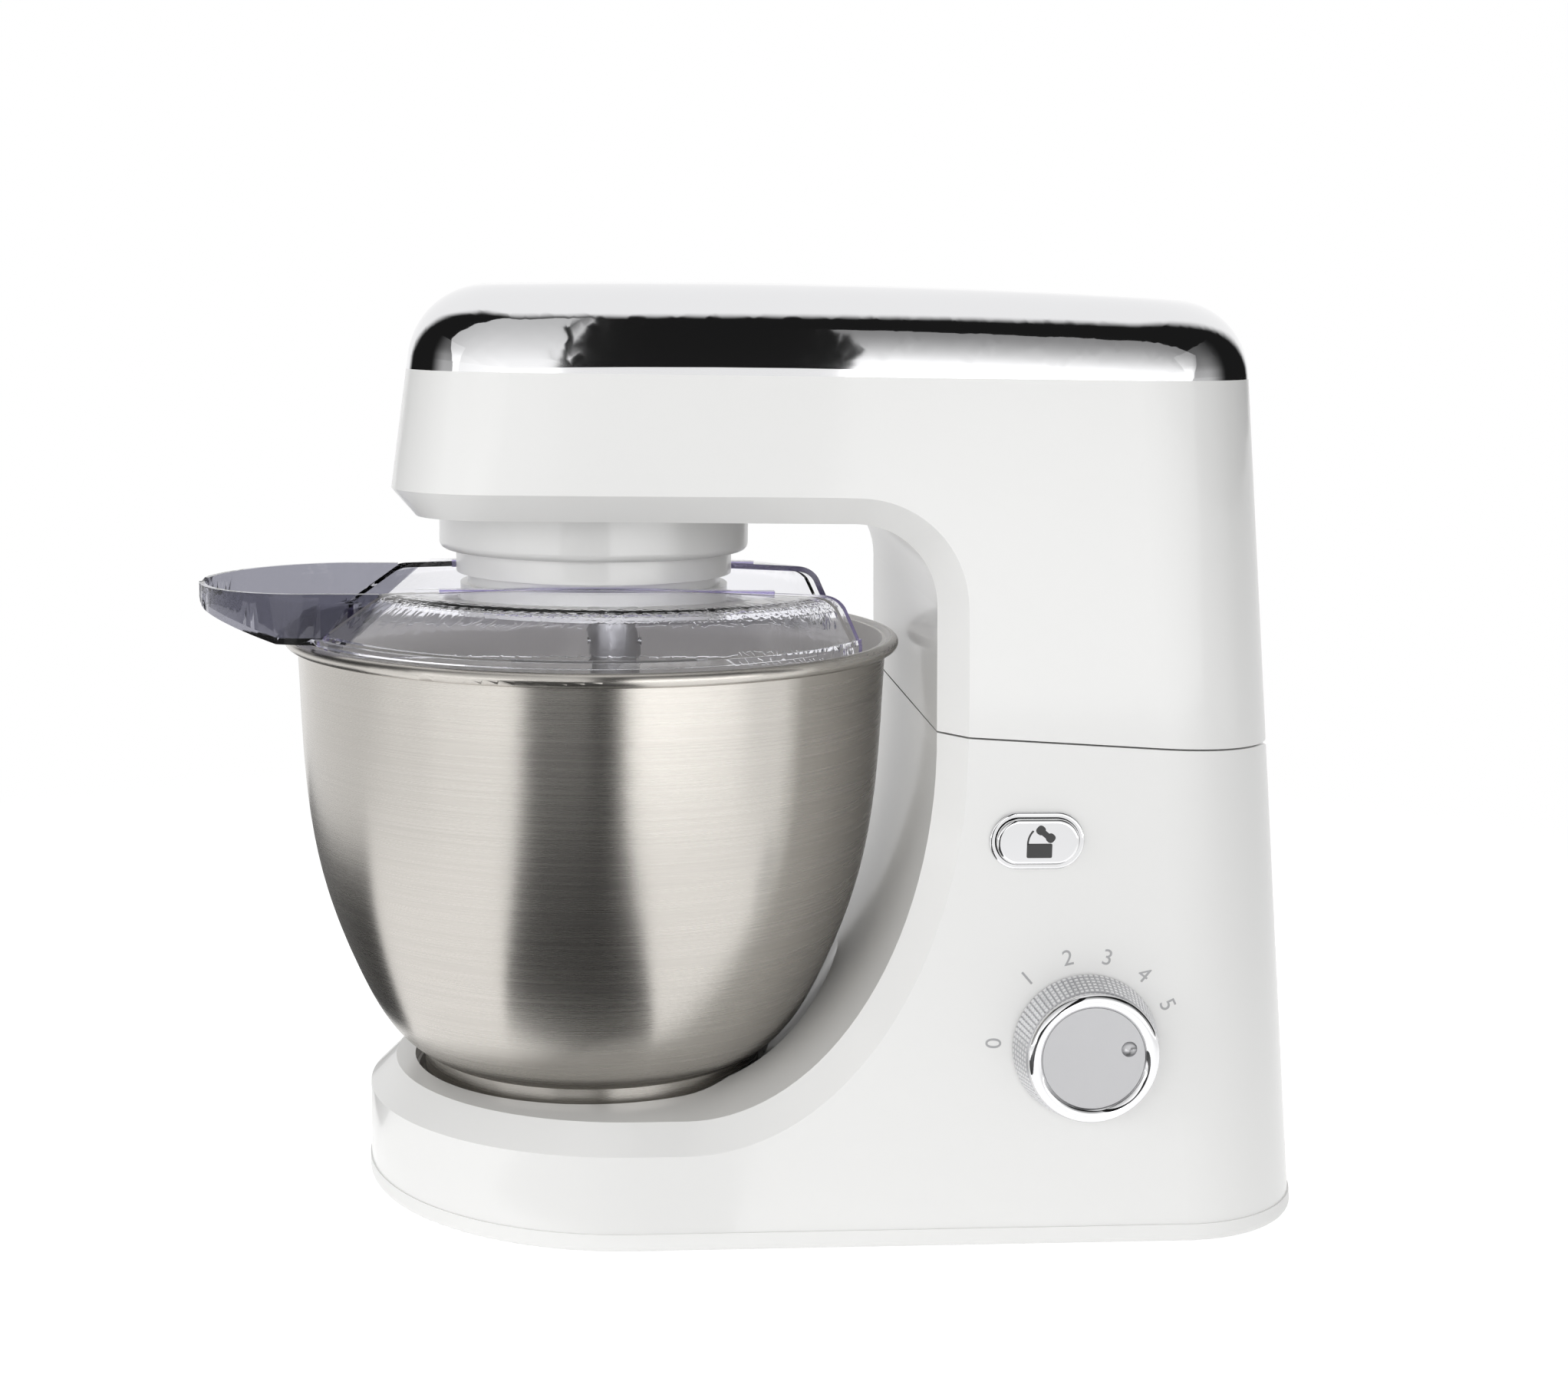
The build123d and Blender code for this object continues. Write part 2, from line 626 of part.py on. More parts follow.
stem_length = HALF_W - CAP_DEPTH + LEVER_FACE_Y - STEM_GAP - STEM_R
with BuildPart() as release_button:
    with BuildSketch(BUTTON_PLANE.offset(-CAP_DEPTH)):
        SlotOverall(CAP_LENGTH, CAP_HEIGHT)
    extrude(amount=CAP_DEPTH + CAP_PROUD)
    fillet(release_button.faces().sort_by(Axis.Y)[0].edges(), CAP_ROUND)
    with BuildSketch(BUTTON_PLANE.offset(-CAP_DEPTH)):
        Circle(STEM_R)
    extrude(amount=-stem_length)
    with Locations((BUTTON_X, -HALF_W + CAP_DEPTH + stem_length, BUTTON_Z)):
        Sphere(STEM_R)

SPRING_WIRE = 0.6
SPRING_R = 5.5
SPRING_GAP = 0.2
SPRING_TURNS = 3.5
spring_room = GUIDE_Y - GUIDE_T / 2 + HALF_W - CAP_DEPTH - 2 * (SPRING_WIRE + SPRING_GAP)
spring_start = -HALF_W + CAP_DEPTH + SPRING_WIRE + SPRING_GAP

with BuildPart() as button_spring:
    with BuildLine():
        coil = Helix(spring_room / SPRING_TURNS, spring_room, SPRING_R,
                     center=(BUTTON_X, spring_start, BUTTON_Z), direction=(0, 1, 0))
    with BuildSketch(Plane(origin=coil @ 0, z_dir=coil % 0)):
        RegularPolygon(SPRING_WIRE, 6)
    sweep(is_frenet=True)

with BuildPart() as latch_pin:
    with Locations((BUTTON_X, LATCH_Y, LATCH_Z)):
        Cylinder(LATCH_PIN_R, LATCH_W + 2 * (LATCH_RIB_T + LATCH_PLAY), rotation=(0, 90, 0))

LATCH_PLANE = Plane(origin=(BUTTON_X, LATCH_Y, LATCH_Z), x_dir=(0, 1, 0), z_dir=(1, 0, 0))
with BuildPart() as latch_lever:
    with BuildSketch(LATCH_PLANE):
        back = LEVER_FACE_Y - LATCH_Y
        front = LATCH_PIN_R
        foot = BUTTON_Z - LATCH_Z - LEVER_FOOT
        hook = HOOK_LOW_Z - LATCH_Z
        with BuildLine():
            Polyline(
                (back, foot),
                (back + LEVER_T, foot),
                (front, 0),
                (front, hook),
                (front + HOOK_REACH, hook),
                (front, hook + HOOK_H),
                (back + 1, hook + HOOK_H),
                (back, 0),
                close=True,
            )
        make_face()
        Circle(LEVER_EYE_R)
    extrude(amount=LATCH_W / 2, both=True)
    with Locations((BUTTON_X, LATCH_Y, LATCH_Z)):
        Cylinder(LATCH_PIN_R + RUN, 2 * LATCH_W, rotation=(0, 90, 0), mode=Mode.SUBTRACT)

# Speed knob: hollow skirt, polished ring, satin cap

KNOB_GAP = 0.5
KNOB_DEPTH = -KNOB_FRONT_Y - HALF_W
KNOB_WALL = 2.5
KNOB_BOSS_R = 7.0
RING_DEPTH = 3.0
RING_ROLL = 1.8
KNOB_AXIS = Axis((KNOB_X, 0, KNOB_Z), (0, 1, 0))
KNOB_SECTION = Plane(origin=(KNOB_X, -HALF_W, KNOB_Z), x_dir=(0, -1, 0), z_dir=(0, 0, -1))

with BuildPart() as knob_body:
    with BuildSketch(KNOB_SECTION):
        shoulder = KNOB_DEPTH - RING_DEPTH
        with BuildLine():
            Polyline(
                (KNOB_GAP, KNOB_BACK_R - KNOB_WALL),
                (KNOB_GAP, KNOB_BACK_R),
                (shoulder, KNOB_RING_R),
                (shoulder, KNOB_SHAFT_R),
                (KNOB_GAP, KNOB_SHAFT_R),
                (KNOB_GAP, KNOB_BOSS_R),
                (shoulder - KNOB_WALL, KNOB_BOSS_R),
                (shoulder - KNOB_WALL, KNOB_RING_R - KNOB_WALL),
                close=True,
            )
        make_face()
    revolve(axis=KNOB_AXIS)

with BuildPart() as knob_ring:
    with BuildSketch(KNOB_SECTION):
        with BuildLine():
            seat = Polyline(
                (KNOB_DEPTH - RING_ROLL, KNOB_CAP_R),
                (KNOB_DEPTH - RING_DEPTH, KNOB_CAP_R),
                (KNOB_DEPTH - RING_DEPTH, KNOB_RING_R),
                (KNOB_DEPTH - RING_ROLL, KNOB_RING_R),
            )
            ThreePointArc(seat @ 1, (KNOB_DEPTH, (KNOB_RING_R + KNOB_CAP_R) / 2), seat @ 0)
        make_face()
    revolve(axis=KNOB_AXIS)

pointer = math.radians(POINTER_ANGLE)
CAP_SINK = 1.6
DIMPLE_R = 3.0
with BuildPart() as knob_cap:
    with BuildSketch(KNOB_PLANE.offset(KNOB_DEPTH - RING_DEPTH)):
        Circle(KNOB_CAP_R)
    extrude(amount=RING_DEPTH - CAP_SINK)
    dimple_x = KNOB_X + POINTER_R * math.cos(pointer)
    dimple_z = KNOB_Z + POINTER_R * math.sin(pointer)
    with Locations((dimple_x, KNOB_FRONT_Y + CAP_SINK - DIMPLE_R / 2, dimple_z)):
        Sphere(DIMPLE_R, mode=Mode.SUBTRACT)

with BuildPart() as knob_shaft:
    with BuildSketch(KNOB_PLANE.offset(KNOB_DEPTH - RING_DEPTH)):
        Circle(KNOB_SHAFT_R)
    extrude(amount=-(KNOB_DEPTH - RING_DEPTH + WALL + SWITCH_DEPTH - SHAFT_STOP - 1))

# Bowl with its rolled rim, and the foot ring with the bayonet lugs

with BuildPart() as bowl:
    with BuildSketch(HUB_PLANE):
        with BuildLine():
            rim_out, floor_out = bowl_outline(0)
            rim_in, floor_in = bowl_outline(-BOWL_T)
            Line(rim_out, rim_in)
            Line(floor_out, floor_in)
        make_face()
    revolve(axis=HUB_AXIS)
    with Locations((BOWL_X, 0, RIM_Z)):
        Torus(RIM_R - RIM_ROLL, RIM_ROLL)

FOOT_RING_LOW_Z = SEAT_Z + 1.8
FOOT_RING_T = 1.0
LUG_RISE = 0.4
LUG_T = 2.2
LUG_REACH = 1.9
with BuildPart() as bowl_foot_ring:
    ring(BOWL_X, 0, FOOT_RING_LOW_Z, BOWL_FOOT_Z, BOWL_FOOT_R, BOWL_FOOT_R - FOOT_RING_T)
    with BuildSketch(Plane(origin=(BOWL_X, 0, FOOT_RING_LOW_Z + LUG_RISE))):
        with PolarLocations(0, LUG_COUNT):
            with BuildLine():
                far = CenterArc((0, 0), BOWL_FOOT_R + LUG_REACH, -LUG_SPAN / 2, LUG_SPAN)
                near = CenterArc((0, 0), BOWL_FOOT_R - FOOT_RING_T / 2, -LUG_SPAN / 2, LUG_SPAN)
                Line(far @ 0, near @ 0)
                Line(far @ 1, near @ 1)
            make_face()
    extrude(amount=LUG_T)
    add(bowl_block(0), mode=Mode.SUBTRACT)

# Head housing

SHELL_FLOOR_R = 10.0
VENT_COUNT = 7
VENT_LOW_Z = 214.0
VENT_PITCH = 6.0
VENT_W = 44.0
VENT_H = 2.6
with BuildPart() as head_cavity:
    add(head_form(WALL))
    add(above_seam(WALL), mode=Mode.INTERSECT)

with BuildPart() as hinge_tongue:
    with BuildSketch(Plane.XZ):
        with BuildLine():
            Polyline(
                (HINGE_X - TONGUE_R, HINGE_Z),
                (HINGE_X - TONGUE_R, seam_z(HINGE_X - TONGUE_R) + 1),
                (back_x(SEAM_Z), seam_z(BACK_X) + 1),
                (HINGE_X + TONGUE_R, HINGE_Z),
                close=True,
            )
        make_face()
        with Locations((HINGE_X, HINGE_Z)):
            Circle(TONGUE_R)
    extrude(amount=TONGUE_HALF, both=True)

with BuildPart() as head_housing:
    add(head_form(0))
    add(above_seam(0), mode=Mode.INTERSECT)
    add(head_cavity.part, mode=Mode.SUBTRACT)
    add(hinge_tongue.part)
    with Locations((HINGE_X, 0, HINGE_Z)):
        Cylinder(HINGE_PIN_R + RUN, pin_seat, rotation=(90, 0, 0), mode=Mode.SUBTRACT)
    ring(BOWL_X, 0, HEAD_LOW_Z - 1, PLATE_Z + 1, SHELL_FLOOR_R, mode=Mode.SUBTRACT)
    with Locations((BUTTON_X, HOOK_SLOT_Y, SEAM_Z)):
        Box(LATCH_W + 2 * HOOK_ROOM, HOOK_SLOT, OVERRUN, mode=Mode.SUBTRACT)
    for row in range(VENT_COUNT):
        vent_z = VENT_LOW_Z + VENT_PITCH * row
        with Locations((back_x(vent_z), 0, vent_z)):
            Box(4 * WALL, VENT_W, VENT_H, mode=Mode.SUBTRACT)

with BuildPart() as top_cover:
    add(cover_form(0))
    add(cover_form(COVER_WALL), mode=Mode.SUBTRACT)

with BuildPart(seam_plane(WALL)) as latch_keeper:
    with Locations((BUTTON_X - SEAM_X, HOOK_SLOT_Y)):
        slot = (LATCH_W + 2 * HOOK_ROOM, HOOK_SLOT)
        Box(slot[0] + 2 * KEEPER_RIM[0], slot[1] + 2 * KEEPER_RIM[1], KEEPER_T, align=UP)
        Box(*slot, OVERRUN, mode=Mode.SUBTRACT)

# Hub collar, drawn as one turned profile with the ring gear's seat inside

DRUM_R = 42.5
DRUM_GAP = 0.5
RING_SEAT_R = 47.2
COLLAR_ROUND = 2.5
with BuildPart() as hub_collar:
    with BuildSketch(HUB_PLANE) as profile:
        with BuildLine():
            Polyline(
                (RING_SEAT_R, HEAD_LOW_Z),
                (COLLAR_R, HEAD_LOW_Z),
                (COLLAR_R, COLLAR_STEP_Z),
                (COLLAR_STEP_R, COLLAR_STEP_Z),
                (COLLAR_STEP_R, COLLAR_LOW_Z),
                (GROOVE_R, COLLAR_LOW_Z),
                (GROOVE_R, FLANGE_TOP_Z),
                (FLANGE_R, FLANGE_TOP_Z),
                (FLANGE_R, FLANGE_LOW_Z),
                (DRUM_R + DRUM_GAP, FLANGE_LOW_Z),
                (DRUM_R + DRUM_GAP, RING_Z[0]),
                (RING_SEAT_R, RING_Z[0]),
                close=True,
            )
        make_face()
        fillet(profile.vertices().sort_by_distance((COLLAR_R, COLLAR_STEP_Z))[0], COLLAR_ROUND)
    revolve(axis=HUB_AXIS)

# Gears

TIP = 0.8
ROOT = 1.0
THIN = 0.46
WIDE = 0.54


def polar(radius, angle):
    return (radius * math.cos(angle), radius * math.sin(angle))


def gear_face(plane, teeth, module, share, tip, root, turn):
    """An involute gear's outline. The share is the tooth's part of the pitch, the turn places a tooth."""
    pitch_r = teeth * module / 2
    base_r = pitch_r * math.cos(PRESSURE)
    step = 2 * math.pi / teeth
    flank_start = math.tan(PRESSURE) - PRESSURE

    def half_tooth(radius):
        slope = math.acos(min(1, base_r / radius))
        return share * step / 2 + flank_start - math.tan(slope) + slope

    radii = (pitch_r - root * module, pitch_r, pitch_r + tip * module)
    low, middle, high = radii
    with BuildSketch(plane) as face:
        with BuildLine():
            for tooth in range(teeth):
                centre = math.radians(turn) + tooth * step
                rising = [polar(r, centre - half_tooth(r)) for r in radii]
                falling = [polar(r, centre + half_tooth(r)) for r in reversed(radii)]
                following = polar(low, centre + step - half_tooth(low))
                ThreePointArc(*rising)
                ThreePointArc(rising[-1], polar(high, centre), falling[0])
                ThreePointArc(*falling)
                ThreePointArc(falling[-1], polar(low, centre + step / 2), following)
        make_face()
    return face.sketch


with BuildPart() as ring_gear:
    ring(BOWL_X, 0, RING_Z[0], RING_Z[1], RING_SEAT_R)
    inside = Plane(origin=(BOWL_X, 0, RING_Z[0]))
    extrude(gear_face(inside, RING_TEETH, PLANET_MODULE, WIDE, ROOT, TIP, PLANET_ANGLE),
            amount=RING_Z[1] - RING_Z[0], mode=Mode.SUBTRACT)

PINION_Z = (RING_Z[0] + 0.5, RING_Z[1] - 0.5)
with BuildPart() as planet_pinion:
    extrude(gear_face(Plane(origin=(PLANET_X, PLANET_Y, PINION_Z[0])), PLANET_TEETH, PLANET_MODULE,
                      THIN, TIP, ROOT, PLANET_ANGLE), amount=PINION_Z[1] - PINION_Z[0])
    ring(PLANET_X, PLANET_Y, PINION_Z[0], PINION_Z[1], TOOL_SHAFT_R, mode=Mode.SUBTRACT)

GEAR_HOLE_R = 8.0
GEAR_HOLE_CIRCLE = 25.0
GEAR_HOLES = 6
with BuildPart() as main_gear:
    extrude(gear_face(Plane(origin=(BOWL_X, 0, MAIN_GEAR_Z[0])), MAIN_TEETH, MAIN_MODULE, THIN, TIP, ROOT, 0),
            amount=MAIN_GEAR_Z[1] - MAIN_GEAR_Z[0])
    ring(BOWL_X, 0, MAIN_GEAR_Z[0], MAIN_GEAR_Z[1], MAIN_SHAFT_R, mode=Mode.SUBTRACT)
    with BuildSketch(Plane(origin=(BOWL_X, 0, MAIN_GEAR_Z[0]))):
        with PolarLocations(GEAR_HOLE_CIRCLE, GEAR_HOLES):
            Circle(GEAR_HOLE_R)
    extrude(amount=MAIN_GEAR_Z[1] - MAIN_GEAR_Z[0], mode=Mode.SUBTRACT)

PINION_SPARE = 1.0
LAY_PINION_Z = (MAIN_GEAR_Z[0] - PINION_SPARE, MAIN_GEAR_Z[1] + PINION_SPARE)
with BuildPart() as lay_pinion:
    extrude(gear_face(Plane(origin=(LAY_X, 0, LAY_PINION_Z[0])), LAY_TEETH, MAIN_MODULE, THIN, TIP, ROOT,
                      180 / LAY_TEETH), amount=LAY_PINION_Z[1] - LAY_PINION_Z[0])
    ring(LAY_X, 0, LAY_PINION_Z[0], LAY_PINION_Z[1], LAY_SHAFT_R, mode=Mode.SUBTRACT)

# Planet carrier and shafts

DRUM_LOW_Z = 207.5
DRUM_TOP_Z = RING_Z[0] - 1
DRUM_PLATE = 3.0
DRUM_HUB_R = 12.0
DRUM_BOSS_T = 2.5
BUSH_T = 3.0
BUSH_H = 7.0
with BuildPart() as planet_carrier:
    ring(BOWL_X, 0, DRUM_LOW_Z, DRUM_TOP_Z, DRUM_R)
    ring(BOWL_X, 0, DRUM_LOW_Z + DRUM_PLATE, DRUM_TOP_Z - DRUM_PLATE, DRUM_R - DRUM_PLATE, mode=Mode.SUBTRACT)
    ring(BOWL_X, 0, DRUM_LOW_Z, DRUM_TOP_Z, DRUM_HUB_R)
    ring(PLANET_X, PLANET_Y, DRUM_LOW_Z, DRUM_TOP_Z, TOOL_SHAFT_R + BUSH_T + DRUM_BOSS_T)
    ring(BOWL_X, 0, DRUM_LOW_Z + DRUM_PLATE, DRUM_TOP_Z, MAIN_SHAFT_R, mode=Mode.SUBTRACT)
    ring(PLANET_X, PLANET_Y, DRUM_LOW_Z, DRUM_TOP_Z, TOOL_SHAFT_R + BUSH_T, mode=Mode.SUBTRACT)

with BuildPart() as planet_bushes:
    ring(PLANET_X, PLANET_Y, DRUM_LOW_Z, DRUM_LOW_Z + BUSH_H, TOOL_SHAFT_R + BUSH_T, TOOL_SHAFT_R + RUN)
    ring(PLANET_X, PLANET_Y, DRUM_TOP_Z - BUSH_H, DRUM_TOP_Z, TOOL_SHAFT_R + BUSH_T, TOOL_SHAFT_R + RUN)

with BuildPart() as main_shaft:
    ring(BOWL_X, 0, DRUM_LOW_Z + DRUM_PLATE, COVER_PLATE_Z + PLATE_T + 1, MAIN_SHAFT_R)
    chamfer(main_shaft.edges().group_by(Axis.Z)[-1], PIN_CHAMFER)

TOOL_LOW_Z = 180.0
CROSS_PIN_Z = 198.0
CROSS_PIN_R = 1.5
SLEEVE_R = 8.5
with BuildPart() as tool_shaft:
    ring(PLANET_X, PLANET_Y, TOOL_LOW_Z, PINION_Z[1] + 1.5, TOOL_SHAFT_R)
    chamfer(tool_shaft.edges().group_by(Axis.Z)[0], PIN_CHAMFER)
    with Locations((PLANET_X, PLANET_Y, CROSS_PIN_Z)):
        Cylinder(CROSS_PIN_R, 4 * SLEEVE_R, rotation=(0, 90, 0), mode=Mode.SUBTRACT)

with BuildPart() as tool_cross_pin:
    with Locations((PLANET_X, PLANET_Y, CROSS_PIN_Z)):
        Cylinder(CROSS_PIN_R, 2 * SLEEVE_R + 1, rotation=(0, 90, 0))

# Flat beater: a frame with a middle bar and slanted ribs, on a sleeve

BEATER_T = 8.0
BEATER_BAR = 10.0
BEATER_SPINE = 16.0
SLEEVE_TOP_Z = 206.0
SLEEVE_LOW_Z = 174.0
BEATER_PLANE = Plane(origin=(PLANET_X, PLANET_Y, 0), x_dir=(1, 0, 0), z_dir=(0, -1, 0))
with BuildPart() as flat_beater:
    with BuildSketch(BEATER_PLANE) as frame:
        with BuildLine():
            Polyline(
                (-30, 62),
                (30, 62),
                (54, 92),
                (56, 122),
                (34, 180),
                (-34, 180),
                (-56, 122),
                (-54, 92),
                close=True,
            )
        make_face()
        fillet(frame.vertices(), 12)
        offset(amount=-BEATER_BAR, mode=Mode.SUBTRACT)
        with Locations((0, 121)):
            Rectangle(BEATER_SPINE, 112)
        with BuildLine():
            Polyline((0, 84), (-50, 104), (-50, 112), (0, 92), close=True)
        make_face()
        with BuildLine():
            Polyline((0, 84), (50, 104), (50, 112), (0, 92), close=True)
        make_face()
        with BuildLine():
            Polyline((0, 122), (-47, 140), (-44, 148), (0, 130), close=True)
        make_face()
        with BuildLine():
            Polyline((0, 122), (47, 140), (44, 148), (0, 130), close=True)
        make_face()
    extrude(amount=BEATER_T / 2, both=True)
    ring(PLANET_X, PLANET_Y, SLEEVE_LOW_Z, SLEEVE_TOP_Z, SLEEVE_R)
    ring(PLANET_X, PLANET_Y, TOOL_LOW_Z, SLEEVE_TOP_Z, TOOL_SHAFT_R, mode=Mode.SUBTRACT)
    with Locations((PLANET_X, PLANET_Y, CROSS_PIN_Z)):
        Cylinder(CROSS_PIN_R, 4 * SLEEVE_R, rotation=(0, 90, 0), mode=Mode.SUBTRACT)
        Box(4 * SLEEVE_R, 2 * CROSS_PIN_R, SLEEVE_TOP_Z - CROSS_PIN_Z, align=UP, mode=Mode.SUBTRACT)

# Gearbox plate, cover and bushes

POST_R = 5.0
GEARBOX_X = (BOWL_X - 52, BOWL_X + 80)
GEARBOX_W = 104.0
GEARBOX_CORNER = 10.0
POST_INSET = 8.0
BUSH_LIP = 4.0
BUSH_LIP_T = 2.0
GEARBOX_POSTS = [(x, y) for x in (GEARBOX_X[0] + POST_INSET, GEARBOX_X[1] - POST_INSET)
                 for y in (POST_INSET - GEARBOX_W / 2, GEARBOX_W / 2 - POST_INSET)]


def gearbox_outline(z):
    with BuildSketch(Plane(origin=(sum(GEARBOX_X) / 2, 0, z))) as outline:
        RectangleRounded(GEARBOX_X[1] - GEARBOX_X[0], GEARBOX_W, GEARBOX_CORNER)
    return outline.sketch


with BuildPart() as gearbox_plate:
    extrude(gearbox_outline(PLATE_Z), amount=PLATE_T)
    for x, y in GEARBOX_POSTS:
        ring(x, y, PLATE_Z, COVER_PLATE_Z, POST_R)
    ring(BOWL_X, 0, PLATE_Z, PLATE_Z + PLATE_T, SHELL_FLOOR_R, mode=Mode.SUBTRACT)
    ring(LAY_X, 0, PLATE_Z, PLATE_Z + PLATE_T, LAY_SHAFT_R + BUSH_T, mode=Mode.SUBTRACT)

with BuildPart() as gearbox_cover:
    extrude(gearbox_outline(COVER_PLATE_Z), amount=PLATE_T)
    ring(BOWL_X, 0, COVER_PLATE_Z, COVER_PLATE_Z + PLATE_T, SHELL_FLOOR_R, mode=Mode.SUBTRACT)
    ring(LAY_X, 0, COVER_PLATE_Z, COVER_PLATE_Z + PLATE_T, LAY_SHAFT_R + BUSH_T, mode=Mode.SUBTRACT)

with BuildPart() as main_bush:
    ring(BOWL_X, 0, HEAD_LOW_Z, PLATE_Z + PLATE_T, SHELL_FLOOR_R, MAIN_SHAFT_R + RUN)
    ring(BOWL_X, 0, HEAD_LOW_Z - BUSH_LIP_T, HEAD_LOW_Z, SHELL_FLOOR_R + BUSH_LIP, MAIN_SHAFT_R + RUN)

with BuildPart() as shaft_bushes:
    ring(BOWL_X, 0, COVER_PLATE_Z, COVER_PLATE_Z + PLATE_T, SHELL_FLOOR_R, MAIN_SHAFT_R + RUN)
    ring(LAY_X, 0, COVER_PLATE_Z, COVER_PLATE_Z + PLATE_T, LAY_SHAFT_R + BUSH_T, LAY_SHAFT_R + RUN)
    ring(LAY_X, 0, PLATE_Z, PLATE_Z + PLATE_T, LAY_SHAFT_R + BUSH_T, LAY_SHAFT_R + RUN)

with BuildPart() as lay_shaft:
    ring(LAY_X, 0, PLATE_Z + 0.5, COVER_PLATE_Z + PLATE_T, LAY_SHAFT_R)

PULLEY_FLANGE = 1.0
PULLEY_LIP = 3.0
PULLEY_HOLE_R = 6.0
PULLEY_HOLE_CIRCLE = 18.0
PULLEY_HOLES = 6


def pulley(x, radius, bore):
    ring(x, 0, PULLEY_Z[0], PULLEY_Z[1], radius)
    ring(x, 0, PULLEY_Z[0], PULLEY_Z[0] + PULLEY_FLANGE, radius + PULLEY_LIP)
    ring(x, 0, PULLEY_Z[1] - PULLEY_FLANGE, PULLEY_Z[1], radius + PULLEY_LIP)
    ring(x, 0, PULLEY_Z[0], PULLEY_Z[1], bore, mode=Mode.SUBTRACT)


with BuildPart() as lay_pulley:
    pulley(LAY_X, LAY_PULLEY_R, LAY_SHAFT_R)
    with BuildSketch(Plane(origin=(LAY_X, 0, PULLEY_Z[0]))):
        with PolarLocations(PULLEY_HOLE_CIRCLE, PULLEY_HOLES):
            Circle(PULLEY_HOLE_R)
    extrude(amount=PULLEY_Z[1] - PULLEY_Z[0], mode=Mode.SUBTRACT)

with BuildPart() as motor_pulley:
    pulley(MOTOR_X, MOTOR_PULLEY_R, MOTOR_SHAFT_R)

BELT_GAP = 0.1
BELT_SIDE_GAP = 0.2


def belt_loop(grow):
    with BuildSketch(Plane.XY.offset(PULLEY_Z[0] + PULLEY_FLANGE + BELT_SIDE_GAP)) as loop:
        with Locations((LAY_X, 0)):
            Circle(LAY_PULLEY_R + grow)
        with Locations((MOTOR_X, 0)):
            Circle(MOTOR_PULLEY_R + grow)
        make_hull()
    return loop.sketch


with BuildPart() as drive_belt:
    belt_height = PULLEY_Z[1] - PULLEY_Z[0] - 2 * (PULLEY_FLANGE + BELT_SIDE_GAP)
    extrude(belt_loop(BELT_GAP + BELT_T), amount=belt_height)
    extrude(belt_loop(BELT_GAP), amount=belt_height, mode=Mode.SUBTRACT)

# Motor

BRACKET_LOW_Z = 180.0
BRACKET_HIGH_Z = 258.5
MOTOR_PLATE_T = 4.0
STRUT_Y = 40.0
STRUT_R = 3.0
EAR_W = 16.0
EAR_REACH = 6.0
END_BRACKET_W = 22.0
MOUNT_R = 5.0
MOUNT_PITCH = (40.0, 52.0)
BRUSH_Y = 22.0
BRUSH_SIZE = (10.0, 22.0)
COMMUTATOR_R = 12.0
COMMUTATOR_Z = (186.0, 194.0)
COIL_H = 6.0
COIL_INSET = (2.0, 3.0)
FAN_R = 28.0
FAN_Z = (251.5, 257.0)
MOTOR_BUSH_R = MOTOR_SHAFT_R + 4


def motor_ears(plane):
    with BuildSketch(plane) as outline:
        Circle(MOTOR_R)
        Rectangle(EAR_W, 2 * (STRUT_Y + EAR_REACH))
    return outline.sketch


with BuildPart() as motor_bracket:
    extrude(motor_ears(Plane(origin=(MOTOR_X, 0, BRACKET_LOW_Z))), amount=MOTOR_PLATE_T)
    for side in (-1, 1):
        ring(MOTOR_X, side * STRUT_Y, BRACKET_LOW_Z, BRACKET_HIGH_Z, STRUT_R)
    ring(MOTOR_X, 0, BRACKET_LOW_Z, BRACKET_LOW_Z + MOTOR_PLATE_T, MOTOR_BUSH_R, mode=Mode.SUBTRACT)

with BuildPart() as motor_end_bracket:
    with BuildSketch(Plane(origin=(MOTOR_X, 0, BRACKET_HIGH_Z))):
        SlotOverall(2 * (STRUT_Y + EAR_REACH), END_BRACKET_W, rotation=90)
    extrude(amount=MOTOR_PLATE_T)
    ring(MOTOR_X, 0, BRACKET_HIGH_Z, BRACKET_HIGH_Z + MOTOR_PLATE_T, MOTOR_BUSH_R, mode=Mode.SUBTRACT)

with BuildPart() as motor_bearings:
    for low in (BRACKET_LOW_Z, BRACKET_HIGH_Z):
        ring(MOTOR_X, 0, low, low + MOTOR_PLATE_T, MOTOR_BUSH_R, MOTOR_SHAFT_R + RUN)

with BuildPart() as motor_mounts:
    with BuildSketch(Plane(origin=(MOTOR_X, 0, SEAM_Z - OVERRUN))):
        with GridLocations(*MOUNT_PITCH, 2, 2):
            Circle(MOUNT_R)
    extrude(amount=BRACKET_LOW_Z - SEAM_Z + OVERRUN)
    add(above_seam(WALL), mode=Mode.INTERSECT)

with BuildPart() as motor_stator:
    extrude(motor_ears(Plane(origin=(MOTOR_X, 0, STATOR_Z[0]))), amount=STATOR_Z[1] - STATOR_Z[0])
    ring(MOTOR_X, 0, *STATOR_Z, ARMATURE_R + AIR_GAP, mode=Mode.SUBTRACT)
    for side in (-1, 1):
        ring(MOTOR_X, side * STRUT_Y, *STATOR_Z, STRUT_R, mode=Mode.SUBTRACT)

with BuildPart() as field_coils:
    for low in (STATOR_Z[0] - COIL_H, STATOR_Z[1]):
        ring(MOTOR_X, 0, low, low + COIL_H, MOTOR_R - COIL_INSET[0], ARMATURE_R + COIL_INSET[1])

